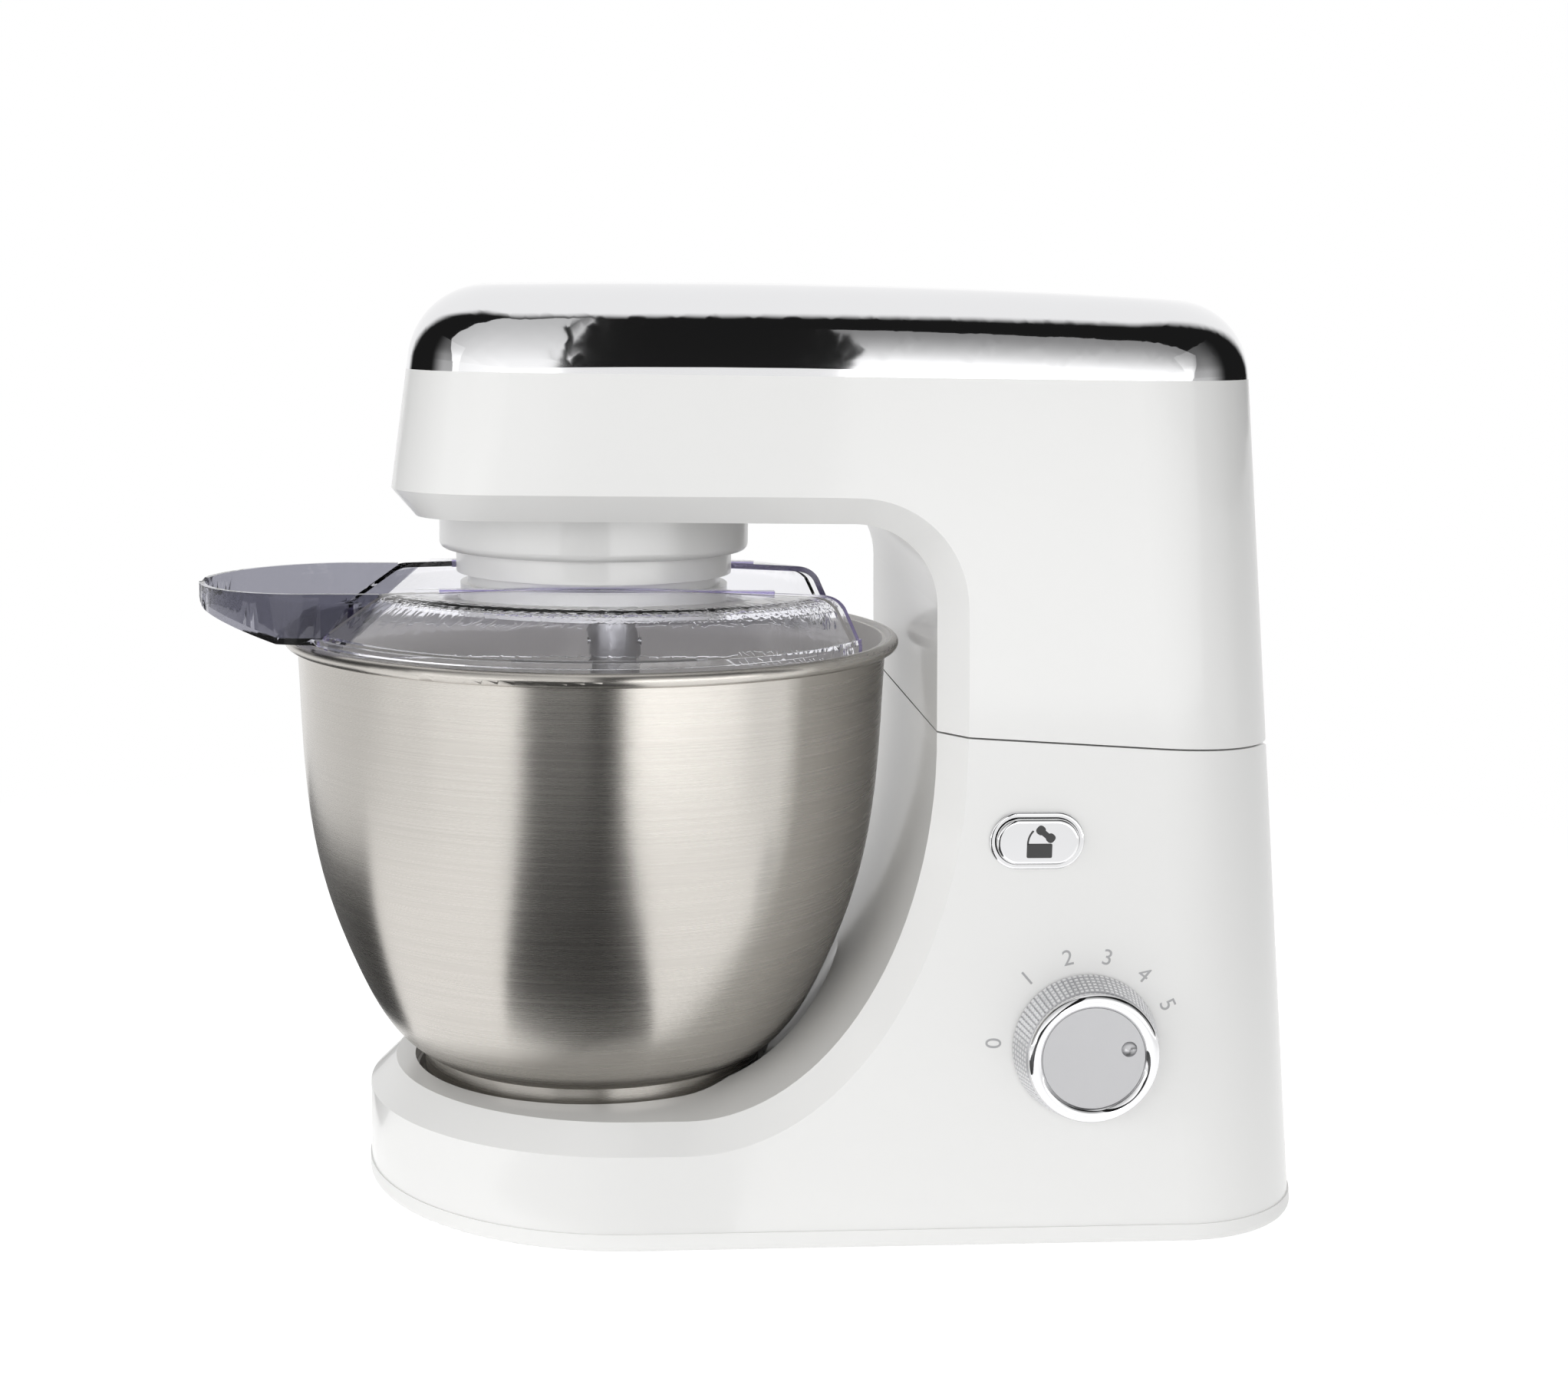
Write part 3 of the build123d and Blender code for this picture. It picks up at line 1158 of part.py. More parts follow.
with BuildPart() as brush_holders:
    with BuildSketch(Plane(origin=(MOTOR_X, 0, BRACKET_LOW_Z + MOTOR_PLATE_T))):
        for side in (-1, 1):
            with Locations((0, side * BRUSH_Y)):
                Rectangle(*BRUSH_SIZE)
        Circle(COMMUTATOR_R + RUN, mode=Mode.SUBTRACT)
    extrude(amount=COMMUTATOR_Z[1] - BRACKET_LOW_Z - MOTOR_PLATE_T)

with BuildPart() as motor_shaft:
    ring(MOTOR_X, 0, BRACKET_LOW_Z - 1, PULLEY_Z[1] + 1, MOTOR_SHAFT_R)

SLOT_COUNT = 12
SLOT_SIZE = (8.0, 3.0)
SLOT_INSET = 2.0
with BuildPart() as armature:
    ring(MOTOR_X, 0, *STATOR_Z, ARMATURE_R, MOTOR_SHAFT_R)
    with BuildSketch(Plane(origin=(MOTOR_X, 0, STATOR_Z[0]))):
        with PolarLocations(ARMATURE_R - SLOT_INSET, SLOT_COUNT):
            Rectangle(*SLOT_SIZE)
    extrude(amount=STATOR_Z[1] - STATOR_Z[0], mode=Mode.SUBTRACT)

with BuildPart() as commutator:
    ring(MOTOR_X, 0, *COMMUTATOR_Z, COMMUTATOR_R, MOTOR_SHAFT_R)

FAN_DISC_T = 1.2
FAN_HUB_R = 9.0
FAN_BLADES = 8
FAN_BLADE_SIZE = (19.0, 1.4)
FAN_BLADE_R = 17.5
FAN_BLADE_LEAN = 25
with BuildPart() as cooling_fan:
    ring(MOTOR_X, 0, FAN_Z[0], FAN_Z[0] + FAN_DISC_T, FAN_R)
    ring(MOTOR_X, 0, *FAN_Z, FAN_HUB_R)
    with BuildSketch(Plane(origin=(MOTOR_X, 0, FAN_Z[0]))):
        with PolarLocations(FAN_BLADE_R, FAN_BLADES):
            Rectangle(*FAN_BLADE_SIZE, rotation=FAN_BLADE_LEAN)
    extrude(amount=FAN_Z[1] - FAN_Z[0])
    ring(MOTOR_X, 0, *FAN_Z, MOTOR_SHAFT_R, mode=Mode.SUBTRACT)

# Splash guard: two domes beside a slot that slides into the collar's groove, and a feed spout

WALL_Y = 47.8
WALL_LOW_Z = 195.0
RAIL_LENGTH = 120.0
RAIL_W = WALL_Y - GUARD_SLOT + 1
RAIL_H = 2.4
SPOUT_BACK_X = BOWL_X - 72.0
SPOUT_MOUTH_X = BOWL_X - 90.0
SPOUT_LOW_Z = RIM_Z + RIM_ROLL + 0.7
SPOUT_FLAT_X = BOWL_X - 106.0
SPOUT_OPEN = 20.0
SPOUT_NOSE = 5.0
SPOUT_NOSE_Z = 206.7
SPOUT_TIP_X = SPOUT_X - SPOUT_R
SPOUT_HALF = WALL_Y + GUARD_T


def guard_block(inset):
    """The guard's form over the bowl: a cone that leans back, rounded to a shallow roof."""
    top = GUARD_ROOF_Z - inset
    reach = 2 * GUARD_FOOT_R
    with BuildPart() as block:
        with BuildSketch(Plane.XY.offset(GUARD_FOOT_Z)):
            with Locations((GUARD_FOOT_X, 0)):
                Circle(GUARD_FOOT_R - inset)
        with BuildSketch(Plane.XY.offset(GUARD_ROOF_Z)):
            with Locations((GUARD_EDGE_X, 0)):
                Circle(GUARD_EDGE_R - inset)
        loft(ruled=True)
        with BuildSketch(HUB_PLANE):
            with BuildLine():
                Polyline(
                    (0, GUARD_FOOT_Z),
                    (0, top),
                    (GUARD_ROOF_R, top),
                    (reach, top - GUARD_ROOF_FALL * (reach - GUARD_ROOF_R)),
                    (reach, GUARD_FOOT_Z),
                    close=True,
                )
            make_face()
        revolve(axis=HUB_AXIS, mode=Mode.INTERSECT)

        def on_edge(edge):
            middle = edge @ 0.5
            return GUARD_FOOT_Z + NEAR < middle.Z < top - NEAR

        edges = block.edges().filter_by(GeomType.LINE, reverse=True).filter_by(on_edge)
        fillet(edges, GUARD_ROUND - inset)
    return block.part


def spout_block(inset, rim_z, back):
    """The spout's room: an oval plan, with an underside that sweeps up to the tip."""
    with BuildPart() as block:
        with BuildSketch(Plane.XY.offset(SPOUT_LOW_Z)):
            with Locations((SPOUT_X, 0)):
                Ellipse(SPOUT_R - inset, SPOUT_HALF - inset)
                Rectangle(back - SPOUT_X, 2 * (SPOUT_HALF - inset), align=(Align.MIN, Align.CENTER))
        extrude(amount=2 * OVERRUN)
        with BuildSketch(Plane.XZ):
            with BuildLine():
                floor = Polyline(
                    (SPOUT_TIP_X + inset, SPOUT_RIM_Z - 2),
                    (SPOUT_TIP_X + inset, rim_z - 1),
                    (SPOUT_X, rim_z),
                    (back, rim_z),
                    (back, SPOUT_LOW_Z + inset),
                    (SPOUT_FLAT_X, SPOUT_LOW_Z + inset),
                    (SPOUT_TIP_X + SPOUT_NOSE + inset / 2, SPOUT_NOSE_Z + inset),
                )
                TangentArc(floor @ 1, floor @ 0, tangent=floor % 1)
            make_face()
        extrude(amount=FAR, both=True, mode=Mode.INTERSECT)
    return block.part


with BuildPart() as guard_walls:
    add(guard_block(0))
    ring(BOWL_X, 0, WALL_LOW_Z, GUARD_FOOT_Z, GUARD_R)
    with Locations((BOWL_X, 0, GUARD_FOOT_Z)):
        Box(FAR, 2 * (WALL_Y + GUARD_T), FAR, mode=Mode.INTERSECT)
        Box(FAR, 2 * WALL_Y, FAR, mode=Mode.SUBTRACT)

with BuildPart() as spout_shell:
    add(spout_block(0, SPOUT_RIM_Z, SPOUT_BACK_X))
    add(spout_block(GUARD_T, SPOUT_RIM_Z + OVERRUN, SPOUT_BACK_X + SPOUT_OPEN), mode=Mode.SUBTRACT)
    with Locations((SPOUT_MOUTH_X, 0, SPOUT_LOW_Z)):
        Box(FAR, 2 * WALL_Y, FAR, align=(Align.MIN, Align.CENTER, Align.CENTER), mode=Mode.SUBTRACT)

with BuildPart() as splash_guard:
    add(guard_block(0))
    add(guard_block(GUARD_T), mode=Mode.SUBTRACT)
    with BuildSketch(Plane.XY.offset(GUARD_FOOT_Z)):
        with Locations((GUARD_FOOT_X, 0)):
            Circle(GUARD_FOOT_R)
        with Locations((BOWL_X, 0)):
            Circle(GUARD_R - GUARD_T, mode=Mode.SUBTRACT)
    extrude(amount=GUARD_T)
    ring(BOWL_X, 0, GUARD_LOW_Z, GUARD_FOOT_Z, GUARD_R, GUARD_R - GUARD_T)
    with Locations((BOWL_X, 0, GUARD_ROOF_Z)):
        Box(FAR, 2 * GUARD_SLOT, FAR, mode=Mode.SUBTRACT)
    add(guard_walls.part)
    with Locations((BOWL_X, 0, FLANGE_TOP_Z)):
        with GridLocations(0, 2 * GUARD_SLOT + RAIL_W, 1, 2):
            Box(RAIL_LENGTH, RAIL_W, RAIL_H, align=UP)
    add(spout_block(GUARD_T, SPOUT_RIM_Z + OVERRUN, SPOUT_BACK_X + SPOUT_OPEN), mode=Mode.SUBTRACT)
    add(spout_shell.part)

pieces = {
    "base_housing": base_housing,
    "base_tray": base_tray,
    "feet": feet,
    "bowl_lock_ring": bowl_lock_ring,
    "hinge_pin": hinge_pin,
    "mains_inlet": mains_inlet,
    "speed_switch": speed_switch,
    "control_board": control_board,
    "button_bezel": button_bezel,
    "release_button": release_button,
    "button_spring": button_spring,
    "latch_pin": latch_pin,
    "latch_lever": latch_lever,
    "knob_body": knob_body,
    "knob_ring": knob_ring,
    "knob_cap": knob_cap,
    "knob_shaft": knob_shaft,
    "bowl": bowl,
    "bowl_foot_ring": bowl_foot_ring,
    "head_housing": head_housing,
    "top_cover": top_cover,
    "latch_keeper": latch_keeper,
    "hub_collar": hub_collar,
    "ring_gear": ring_gear,
    "planet_pinion": planet_pinion,
    "main_gear": main_gear,
    "lay_pinion": lay_pinion,
    "planet_carrier": planet_carrier,
    "planet_bushes": planet_bushes,
    "main_shaft": main_shaft,
    "tool_shaft": tool_shaft,
    "tool_cross_pin": tool_cross_pin,
    "flat_beater": flat_beater,
    "gearbox_plate": gearbox_plate,
    "gearbox_cover": gearbox_cover,
    "main_bush": main_bush,
    "shaft_bushes": shaft_bushes,
    "lay_shaft": lay_shaft,
    "lay_pulley": lay_pulley,
    "motor_pulley": motor_pulley,
    "drive_belt": drive_belt,
    "motor_bracket": motor_bracket,
    "motor_end_bracket": motor_end_bracket,
    "motor_bearings": motor_bearings,
    "motor_mounts": motor_mounts,
    "motor_stator": motor_stator,
    "field_coils": field_coils,
    "brush_holders": brush_holders,
    "motor_shaft": motor_shaft,
    "armature": armature,
    "commutator": commutator,
    "cooling_fan": cooling_fan,
    "splash_guard": splash_guard,
}

os.makedirs("parts", exist_ok=True)
for name, piece in pieces.items():
    piece.part.label = name
    export_step(piece.part, f"parts/{name}.step")
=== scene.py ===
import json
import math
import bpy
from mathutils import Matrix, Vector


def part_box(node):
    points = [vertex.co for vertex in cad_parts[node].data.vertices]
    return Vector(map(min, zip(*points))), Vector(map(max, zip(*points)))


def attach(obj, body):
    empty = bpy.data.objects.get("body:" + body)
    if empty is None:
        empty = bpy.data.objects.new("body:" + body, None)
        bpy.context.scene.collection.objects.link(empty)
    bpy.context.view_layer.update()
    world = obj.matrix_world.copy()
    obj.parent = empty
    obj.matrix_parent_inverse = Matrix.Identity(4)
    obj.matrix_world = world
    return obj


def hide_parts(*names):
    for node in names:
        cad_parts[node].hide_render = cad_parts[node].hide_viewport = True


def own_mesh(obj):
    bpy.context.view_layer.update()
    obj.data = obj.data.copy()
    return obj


bl_info = {
    "name": "Stand Mixer",
    "version": (1, 0, 0),
    "blender": (4, 5, 0),
    "location": "View3D > Sidebar > Mixer",
    "description": "Finishes and detail for a tilt-head stand mixer on a plain studio stage",
    "category": "Object",
}

import bpy
from bpy.props import FloatProperty, FloatVectorProperty, IntProperty, PointerProperty
from mathutils import Matrix, Vector

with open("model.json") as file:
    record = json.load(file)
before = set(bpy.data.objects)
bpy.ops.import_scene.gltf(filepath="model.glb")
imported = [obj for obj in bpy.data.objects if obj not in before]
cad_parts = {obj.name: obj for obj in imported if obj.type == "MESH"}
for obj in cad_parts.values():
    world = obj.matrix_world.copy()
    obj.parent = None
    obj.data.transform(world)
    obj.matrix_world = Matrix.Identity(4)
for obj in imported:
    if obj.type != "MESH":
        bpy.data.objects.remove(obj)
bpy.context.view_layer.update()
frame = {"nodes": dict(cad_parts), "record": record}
NODES = frame["nodes"]

# Places read from the frame
SIDE_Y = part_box("base_housing")[0].y
KNOB_LOW, KNOB_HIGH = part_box("knob_body")
RING_LOW, RING_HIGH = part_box("knob_ring")
CAP_LOW, CAP_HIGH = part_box("release_button")
BOWL_LOW, BOWL_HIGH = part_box("bowl")
GUARD_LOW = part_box("splash_guard")[0]
TRAY_LOW, TRAY_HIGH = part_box("base_tray")
KNOB_CENTRE = (KNOB_LOW + KNOB_HIGH) / 2
CAP_CENTRE = (CAP_LOW + CAP_HIGH) / 2
BOWL_CENTRE = (BOWL_LOW + BOWL_HIGH) / 2

# Angles of the dial's numbers, from 0 up, counted from the right, upwards
NUMBER_ANGLES = (178.0, 131.0, 102.7, 77.7, 51.5, 26.5)

# Height of a digit as a share of the font's size
DIGIT_SHARE = 0.7

# The knob's grip: its wall, and how squarely a face must look outwards to be the top of a pad
GRIP_WALL = 0.001
PAD_LEVEL = 0.9

# The button's sign: foot, arm and the two ends of the arm, from the cap's middle
SIGN_TILT = -40.0
SIGN_CORNER_STEPS = 4
SIGN_FOOT = {"middle": (0.0004, -0.0028), "size": (0.0084, 0.0048), "turn": 0.0, "corner": 0.0005}
SIGN_ARM = {"middle": (0.0023, 0.0026), "size": (0.0060, 0.0020), "turn": SIGN_TILT, "corner": 0.0007}
SIGN_ENDS = (
    {"middle": (0.0007, 0.0040), "size": (0.0029, 0.0031), "turn": SIGN_TILT, "corner": 0.0012},
    {"middle": (0.0040, 0.0014), "size": (0.0029, 0.0031), "turn": SIGN_TILT, "corner": 0.0012},
)

# The thin arc beside the sign's arm
ARC_MIDDLE = (0.0030, -0.0006)
ARC_RADIUS = 0.0065
ARC_WIDTH = 0.0006
ARC_START = 0.0003
ARC_ANGLE = math.radians(42)
ARC_STEPS = 12

# The guard's feed spout, and the skirt under it that fits into the bowl
SPOUT_LENGTH = 0.066
SPOUT_HALF = 0.0505
SKIRT_HEIGHT = 0.0065

# How near a face of the guard lies to the slot's wall or the skirt's edge that it belongs to, and its facing
SLOT_MARGIN = 0.0002
SLOT_FACING = 0.9
SKIRT_MARGIN = 0.0005
SKIRT_FACING = -0.6

# The tray's screws: share of its length, and distance from the middle
SCREW_PLACES = ((0.10, 0.0), (0.30, -0.058), (0.30, 0.058), (0.80, -0.050), (0.80, 0.050))

# A screw head: its rounding as a share of the height, and its cross as shares of radius and height
SCREW_SIDES = 32
SCREW_ROUNDING = 0.7
SCREW_ROUND_STEPS = 4
SCREW_SMOOTH = math.radians(30)
CROSS_LENGTH = 1.1
CROSS_WIDTH = 0.26
CROSS_DEPTH = 1.1

# Corners of a copied CAD mesh that are nearer than this are one
SEAM_GAP = 0.000002

# Depth that a bump of full strength stands for
BUMP_DEPTH = 0.0002

# The bowl's inside: how soon it sets in, how metallic it is, and how much rougher than the outside
INSIDE_BLEND = 0.05
INSIDE_METAL = 0.15
INSIDE_ROUGHNESS = 2.2

# How much the guard and its spout bend light, and how hazy they get at most
CLEAR_BEND = 1.3
SPOUT_SHADE_BEND = 1.22
CLEAR_HAZE = 0.05

# Numbers of the colour sockets of a Mix node, whose names its other kinds have too
MIX_FIRST_COLOUR = 6
MIX_SECOND_COLOUR = 7
MIX_COLOUR_RESULT = 2

# The floor: its size, where its glow begins to grow and is full, and its glow and its white at the mixer
FLOOR_SIZE = 40
GLOW_REACH = (0.25, 0.8)
GLOW_NEAR = 0.6
FLOOR_WHITE = 0.9

# The black cards: one stands in front and runs along the floor to the mixer, one lies behind the bowl
FLAG_PLACE = (-0.2, -0.95, 0.09)
FLAG_SIZE = (0.6, 0.17)
FLAG_RUN = 0.85
FLAG_NARROWING = 0.2
FLAG_END_X = -0.035
CARD_PLACE = (-0.30, 0.31, 0.004)
CARD_SIZE = (0.27, 0.58)
CARD_BLACK = (0.01, 0.01, 0.01, 1)

# The surround: how much height and distance aside count, where its white begins and is full, and the rest
SURROUND_RISE = 0.8
SURROUND_ASIDE = -0.6
SURROUND_EDGE = (0.38, 0.62)
SURROUND_DARK = 0.012

# Lamps: the softboxes' lean, and the tilt and size of those that light dull surfaces
SOFTBOX_LEAN = 25
DULL_LIGHT_TILT = 84
DULL_LIGHT_SIZE = (0.7, 0.35)

# The photograph's camera
CAMERA_PLACE = Vector((-0.06548, -0.85821, 0.31393))
CAMERA_YAW = math.radians(5.25)
CAMERA_PITCH = math.radians(9.06)
CAMERA_ROLL = math.radians(0.89)
CAMERA_LENS = 55.79
CAMERA_SENSOR = 36


class MIXER_PG_finish(bpy.types.PropertyGroup):
    """Colours of the mixer's finishes"""

    white: FloatVectorProperty(
        name="White shell", description="Colour of the moulded housings", subtype="COLOR",
        min=0, max=1, default=(0.86, 0.86, 0.85))
    chrome: FloatVectorProperty(
        name="Chrome", description="Colour of the plated pieces", subtype="COLOR",
        min=0, max=1, default=(0.80, 0.80, 0.81))
    bowl: FloatVectorProperty(
        name="Bowl steel", description="Colour of the brushed bowl", subtype="COLOR",
        min=0, max=1, default=(0.56, 0.535, 0.50))
    # Partly painted light: the inside's near-white colour brightens the shaded inside of the bowl; its satin
    # finish is real
    bowl_inside: FloatVectorProperty(
        name="Bowl inside", description="Colour of the satin inside of the bowl", subtype="COLOR",
        min=0, max=1, default=(0.95, 0.93, 0.90))
    guard: FloatVectorProperty(
        name="Clear guard", description="Tint of the clear splash guard", subtype="COLOR",
        min=0, max=1, default=(0.97, 0.97, 0.985))
    # Painted shade: the spout's darker tint stands for the dark reflections in its thick walls; the guard is
    # one clear moulding
    spout: FloatVectorProperty(
        name="Guard spout", description="Deeper tint of the guard's thick feed spout", subtype="COLOR",
        min=0, max=1, default=(0.32, 0.32, 0.37))
    # Painted light: the violet of the guard's cut edges is light caught in the clear plastic, painted as a
    # colour
    guard_edge: FloatVectorProperty(
        name="Guard edges", description="Colour of the light at the guard's cut edges", subtype="COLOR",
        min=0, max=1, default=(0.30, 0.25, 0.58))
    print_grey: FloatVectorProperty(
        name="Print", description="Colour of the dial's numbers", subtype="COLOR",
        min=0, max=1, default=(0.42, 0.42, 0.43))
    sign: FloatVectorProperty(
        name="Button sign", description="Colour of the sign on the release button", subtype="COLOR",
        min=0, max=1, default=(0.03, 0.03, 0.03))


class MIXER_PG_sizes(bpy.types.PropertyGroup):
    """Sizes of the details that the scene adds"""

    number_height: FloatProperty(
        name="Number height", description="Height of the dial's numbers", unit="LENGTH",
        min=0.002, max=0.01, default=0.0053)
    number_radius: FloatProperty(
        name="Number circle", description="Distance of the numbers from the knob's middle", unit="LENGTH",
        min=0.026, max=0.04, default=0.0305)
    print_depth: FloatProperty(
        name="Print depth", description="Thickness of printed numbers and signs", unit="LENGTH",
        min=0.00002, max=0.0005, default=0.00008)
    grip_columns: IntProperty(
        name="Grip columns", description="Pads of the knob's grip in one turn", min=24, max=160, default=84)
    grip_rows: IntProperty(
        name="Grip rows", description="Rows of pads along the knob's skirt", min=2, max=12, default=6)
    grip_relief: FloatProperty(
        name="Grip relief", description="Height of the grip's pads", unit="LENGTH",
        min=0.0001, max=0.001, default=0.00035)
    guard_slot: FloatProperty(
        name="Guard slot", description="Half the width of the slot between the guard's domes", unit="LENGTH",
        min=0.03, max=0.06, default=0.045)
    screw_radius: FloatProperty(
        name="Screw radius", description="Radius of the screw heads under the tray", unit="LENGTH",
        min=0.001, max=0.006, default=0.0033)
    screw_height: FloatProperty(
        name="Screw height", description="Height of the screw heads under the tray", unit="LENGTH",
        min=0.0005, max=0.0018, default=0.0013)


class MIXER_PG_stage(bpy.types.PropertyGroup):
    """Light on the stage"""

    key: FloatProperty(
        name="Key light", description="Power of the softbox in front at the left", unit="POWER",
        min=0, max=200, default=13.5)
    fill: FloatProperty(
        name="Fill light", description="Power of the softbox in front at the right", unit="POWER",
        min=0, max=200, default=16.0)
    sides: FloatProperty(
        name="Side lights", description="Power of the softboxes beside the mixer", unit="POWER",
        min=0, max=200, default=4.8)
    front: FloatProperty(
        name="Front light", description="Power of the lamp beside the camera", unit="POWER",
        min=0, max=200, default=2.3)
    left: FloatProperty(
        name="Left light", description="Power of the lamp at the left", unit="POWER",
        min=0, max=200, default=1.3)
    surround: FloatProperty(
        name="Surround", description="Strength of the white surround", min=0, max=5, default=1.0)
    tent: FloatProperty(
        name="Tent", description="Even light from all sides on dull surfaces", min=0, max=5, default=0.60)
    bounce: FloatProperty(
        name="Bounce", description="Share of the floor's glow that lights dull surfaces",
        min=0, max=1, default=0.36)


def deselect():
    """Leaves nothing selected and no object in edit mode."""
    if bpy.context.object and bpy.context.object.mode != "OBJECT":
        bpy.ops.object.mode_set(mode="OBJECT")
    bpy.ops.object.select_all(action="DESELECT")


def pick(*pieces):
    """Leaves only these pieces selected, with the first of them active."""
    deselect()
    for piece in pieces:
        piece.select_set(True)
    bpy.context.view_layer.objects.active = pieces[0]


def apply_place():
    """Brings the selected piece's place, turn and scale into its mesh."""
    bpy.ops.object.transform_apply(location=True, rotation=True, scale=True)


def select_faces(mesh, wanted):
    """Selects the faces of a mesh in edit mode whose normals pass a test."""
    bpy.ops.mesh.select_mode(type="FACE")
    bpy.ops.mesh.select_all(action="DESELECT")
    bpy.ops.object.mode_set(mode="OBJECT")
    for face in mesh.polygons:
        face.select = wanted(face.normal)
    bpy.ops.object.mode_set(mode="EDIT")


def select_edges(mesh, wanted):
    """Selects the edges of a mesh in edit mode whose two ends pass a test."""
    bpy.ops.mesh.select_mode(type="EDGE")
    bpy.ops.mesh.select_all(action="DESELECT")
    bpy.ops.object.mode_set(mode="OBJECT")
    for edge in mesh.edges:
        start, end = (mesh.vertices[corner].co for corner in edge.vertices)
        edge.select = wanted(start, end)
    bpy.ops.object.mode_set(mode="EDIT")


def copy_node(node):
    """A copy of a CAD piece's mesh, joined along its seams, as an object of its own."""
    copy = bpy.data.objects.new(node, NODES[node].data.copy())
    bpy.context.collection.objects.link(copy)
    pick(copy)
    bpy.ops.object.mode_set(mode="EDIT")
    bpy.ops.mesh.select_all(action="SELECT")
    bpy.ops.mesh.remove_doubles(threshold=SEAM_GAP)
    bpy.ops.object.mode_set(mode="OBJECT")
    return copy


def join_pieces(pieces):
    """Joins pieces into the first of them."""
    pick(*pieces)
    bpy.ops.object.join()
    return pieces[0]


def settle(piece, name, material, body):
    """Names a finished piece, brings its place into its mesh, paints it and hangs it on its body."""
    pick(piece)
    apply_place()
    piece.name = name
    piece.data.name = name
    piece.data.materials.clear()
    piece.data.materials.append(bpy.data.materials[material])
    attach(piece, body)
    return piece


def feed(tree, value, socket):
    """Links an output to an input, or sets the input to a plain value."""
    if isinstance(value, bpy.types.NodeSocket):
        tree.links.new(value, socket)
    else:
        socket.default_value = value


def add_math(tree, operation, *values):
    """The result of a math node. Each value is a number or another node's output."""
    node = tree.nodes.new("ShaderNodeMath")
    node.operation = operation
    for value, socket in zip(values, node.inputs):
        feed(tree, value, socket)
    return node.outputs["Value"]


def add_vector_math(tree, operation, *vectors, output="Vector"):
    """The result of a vector math node. Each vector is a plain one or another node's output."""
    node = tree.nodes.new("ShaderNodeVectorMath")
    node.operation = operation
    for vector, socket in zip(vectors, node.inputs):
        feed(tree, vector, socket)
    return node.outputs[output]


def add_range(tree, value, start=(0.0, 1.0), end=(0.0, 1.0), smooth=False):
    """A value brought from one range into another."""
    node = tree.nodes.new("ShaderNodeMapRange")
    node.interpolation_type = "SMOOTHSTEP" if smooth else "LINEAR"
    feed(tree, value, node.inputs["Value"])
    node.inputs["From Min"].default_value, node.inputs["From Max"].default_value = start
    node.inputs["To Min"].default_value, node.inputs["To Max"].default_value = end
    return node.outputs["Result"]


def add_noise(tree, vector, scale, detail=2.0, roughness=0.5):
    """The strength of a noise over the surface."""
    node = tree.nodes.new("ShaderNodeTexNoise")
    feed(tree, vector, node.inputs["Vector"])
    feed(tree, scale, node.inputs["Scale"])
    node.inputs["Detail"].default_value = detail
    node.inputs["Roughness"].default_value = roughness
    return node.outputs["Fac"]


def add_mix(tree, factor, first, second):
    """A value between two values."""
    node = tree.nodes.new("ShaderNodeMix")
    feed(tree, factor, node.inputs["Factor"])
    feed(tree, first, node.inputs["A"])
    feed(tree, second, node.inputs["B"])
    return node.outputs["Result"]


def show_either(tree, factor, shader, other):
    """Lets a material show its own shader or, where a factor holds, another one."""
    either = tree.nodes.new("ShaderNodeMixShader")
    tree.links.new(factor, either.inputs["Fac"])
    tree.links.new(shader.outputs["BSDF"], either.inputs[1])
    tree.links.new(other.outputs["BSDF"], either.inputs[2])
    tree.links.new(either.outputs["Shader"], tree.nodes["Material Output"].inputs["Surface"])


def shader_group(name, colour, roughness, **amounts):
    """A shader node group for a finish that also takes the named amounts, and its two end nodes."""
    tree = bpy.data.node_groups.new(name, "ShaderNodeTree")
    tree.interface.new_socket("Vector", in_out="INPUT", socket_type="NodeSocketVector")
    entry = tree.interface.new_socket("Colour", in_out="INPUT", socket_type="NodeSocketColor")
    entry.default_value = colour
    for label, default in {**amounts, "Roughness": roughness}.items():
        entry = tree.interface.new_socket(label, in_out="INPUT", socket_type="NodeSocketFloat")
        entry.default_value = default
    tree.interface.new_socket("Colour", in_out="OUTPUT", socket_type="NodeSocketColor")
    tree.interface.new_socket("Roughness", in_out="OUTPUT", socket_type="NodeSocketFloat")
    tree.interface.new_socket("Height", in_out="OUTPUT", socket_type="NodeSocketFloat")
    return tree, tree.nodes.new("NodeGroupInput"), tree.nodes.new("NodeGroupOutput")


def drift_finish(tree, entry, out, noise, amount):
    """Lets a group's colour and roughness drift with a noise about its middle."""
    centred = add_math(tree, "SUBTRACT", noise, 0.5)
    drift = add_math(tree, "MULTIPLY_ADD", centred, amount, 1.0)
    shade = tree.nodes.new("ShaderNodeVectorMath")
    shade.operation = "SCALE"
    feed(tree, entry.outputs["Colour"], shade.inputs["Vector"])
    feed(tree, drift, shade.inputs["Scale"])
    feed(tree, shade.outputs["Vector"], out.inputs["Colour"])
    feed(tree, add_math(tree, "MULTIPLY", entry.outputs["Roughness"], drift), out.inputs["Roughness"])


def grain_group():
    """Fine moulded or cast grain: a colour and a roughness that drift a little, and a height."""
    if "surface_grain" in bpy.data.node_groups:
        return bpy.data.node_groups["surface_grain"]
    tree, entry, out = shader_group(
        "surface_grain", colour=(0.8, 0.8, 0.8, 1), roughness=0.3, Scale=900.0, Drift=0.04)
    place = entry.outputs["Vector"]
    fine = add_noise(tree, place, entry.outputs["Scale"], detail=3.0)
    broad = add_noise(tree, place, scale=14.0)
    drift_finish(tree, entry, out, broad, entry.outputs["Drift"])
    feed(tree, fine, out.inputs["Height"])
    return tree


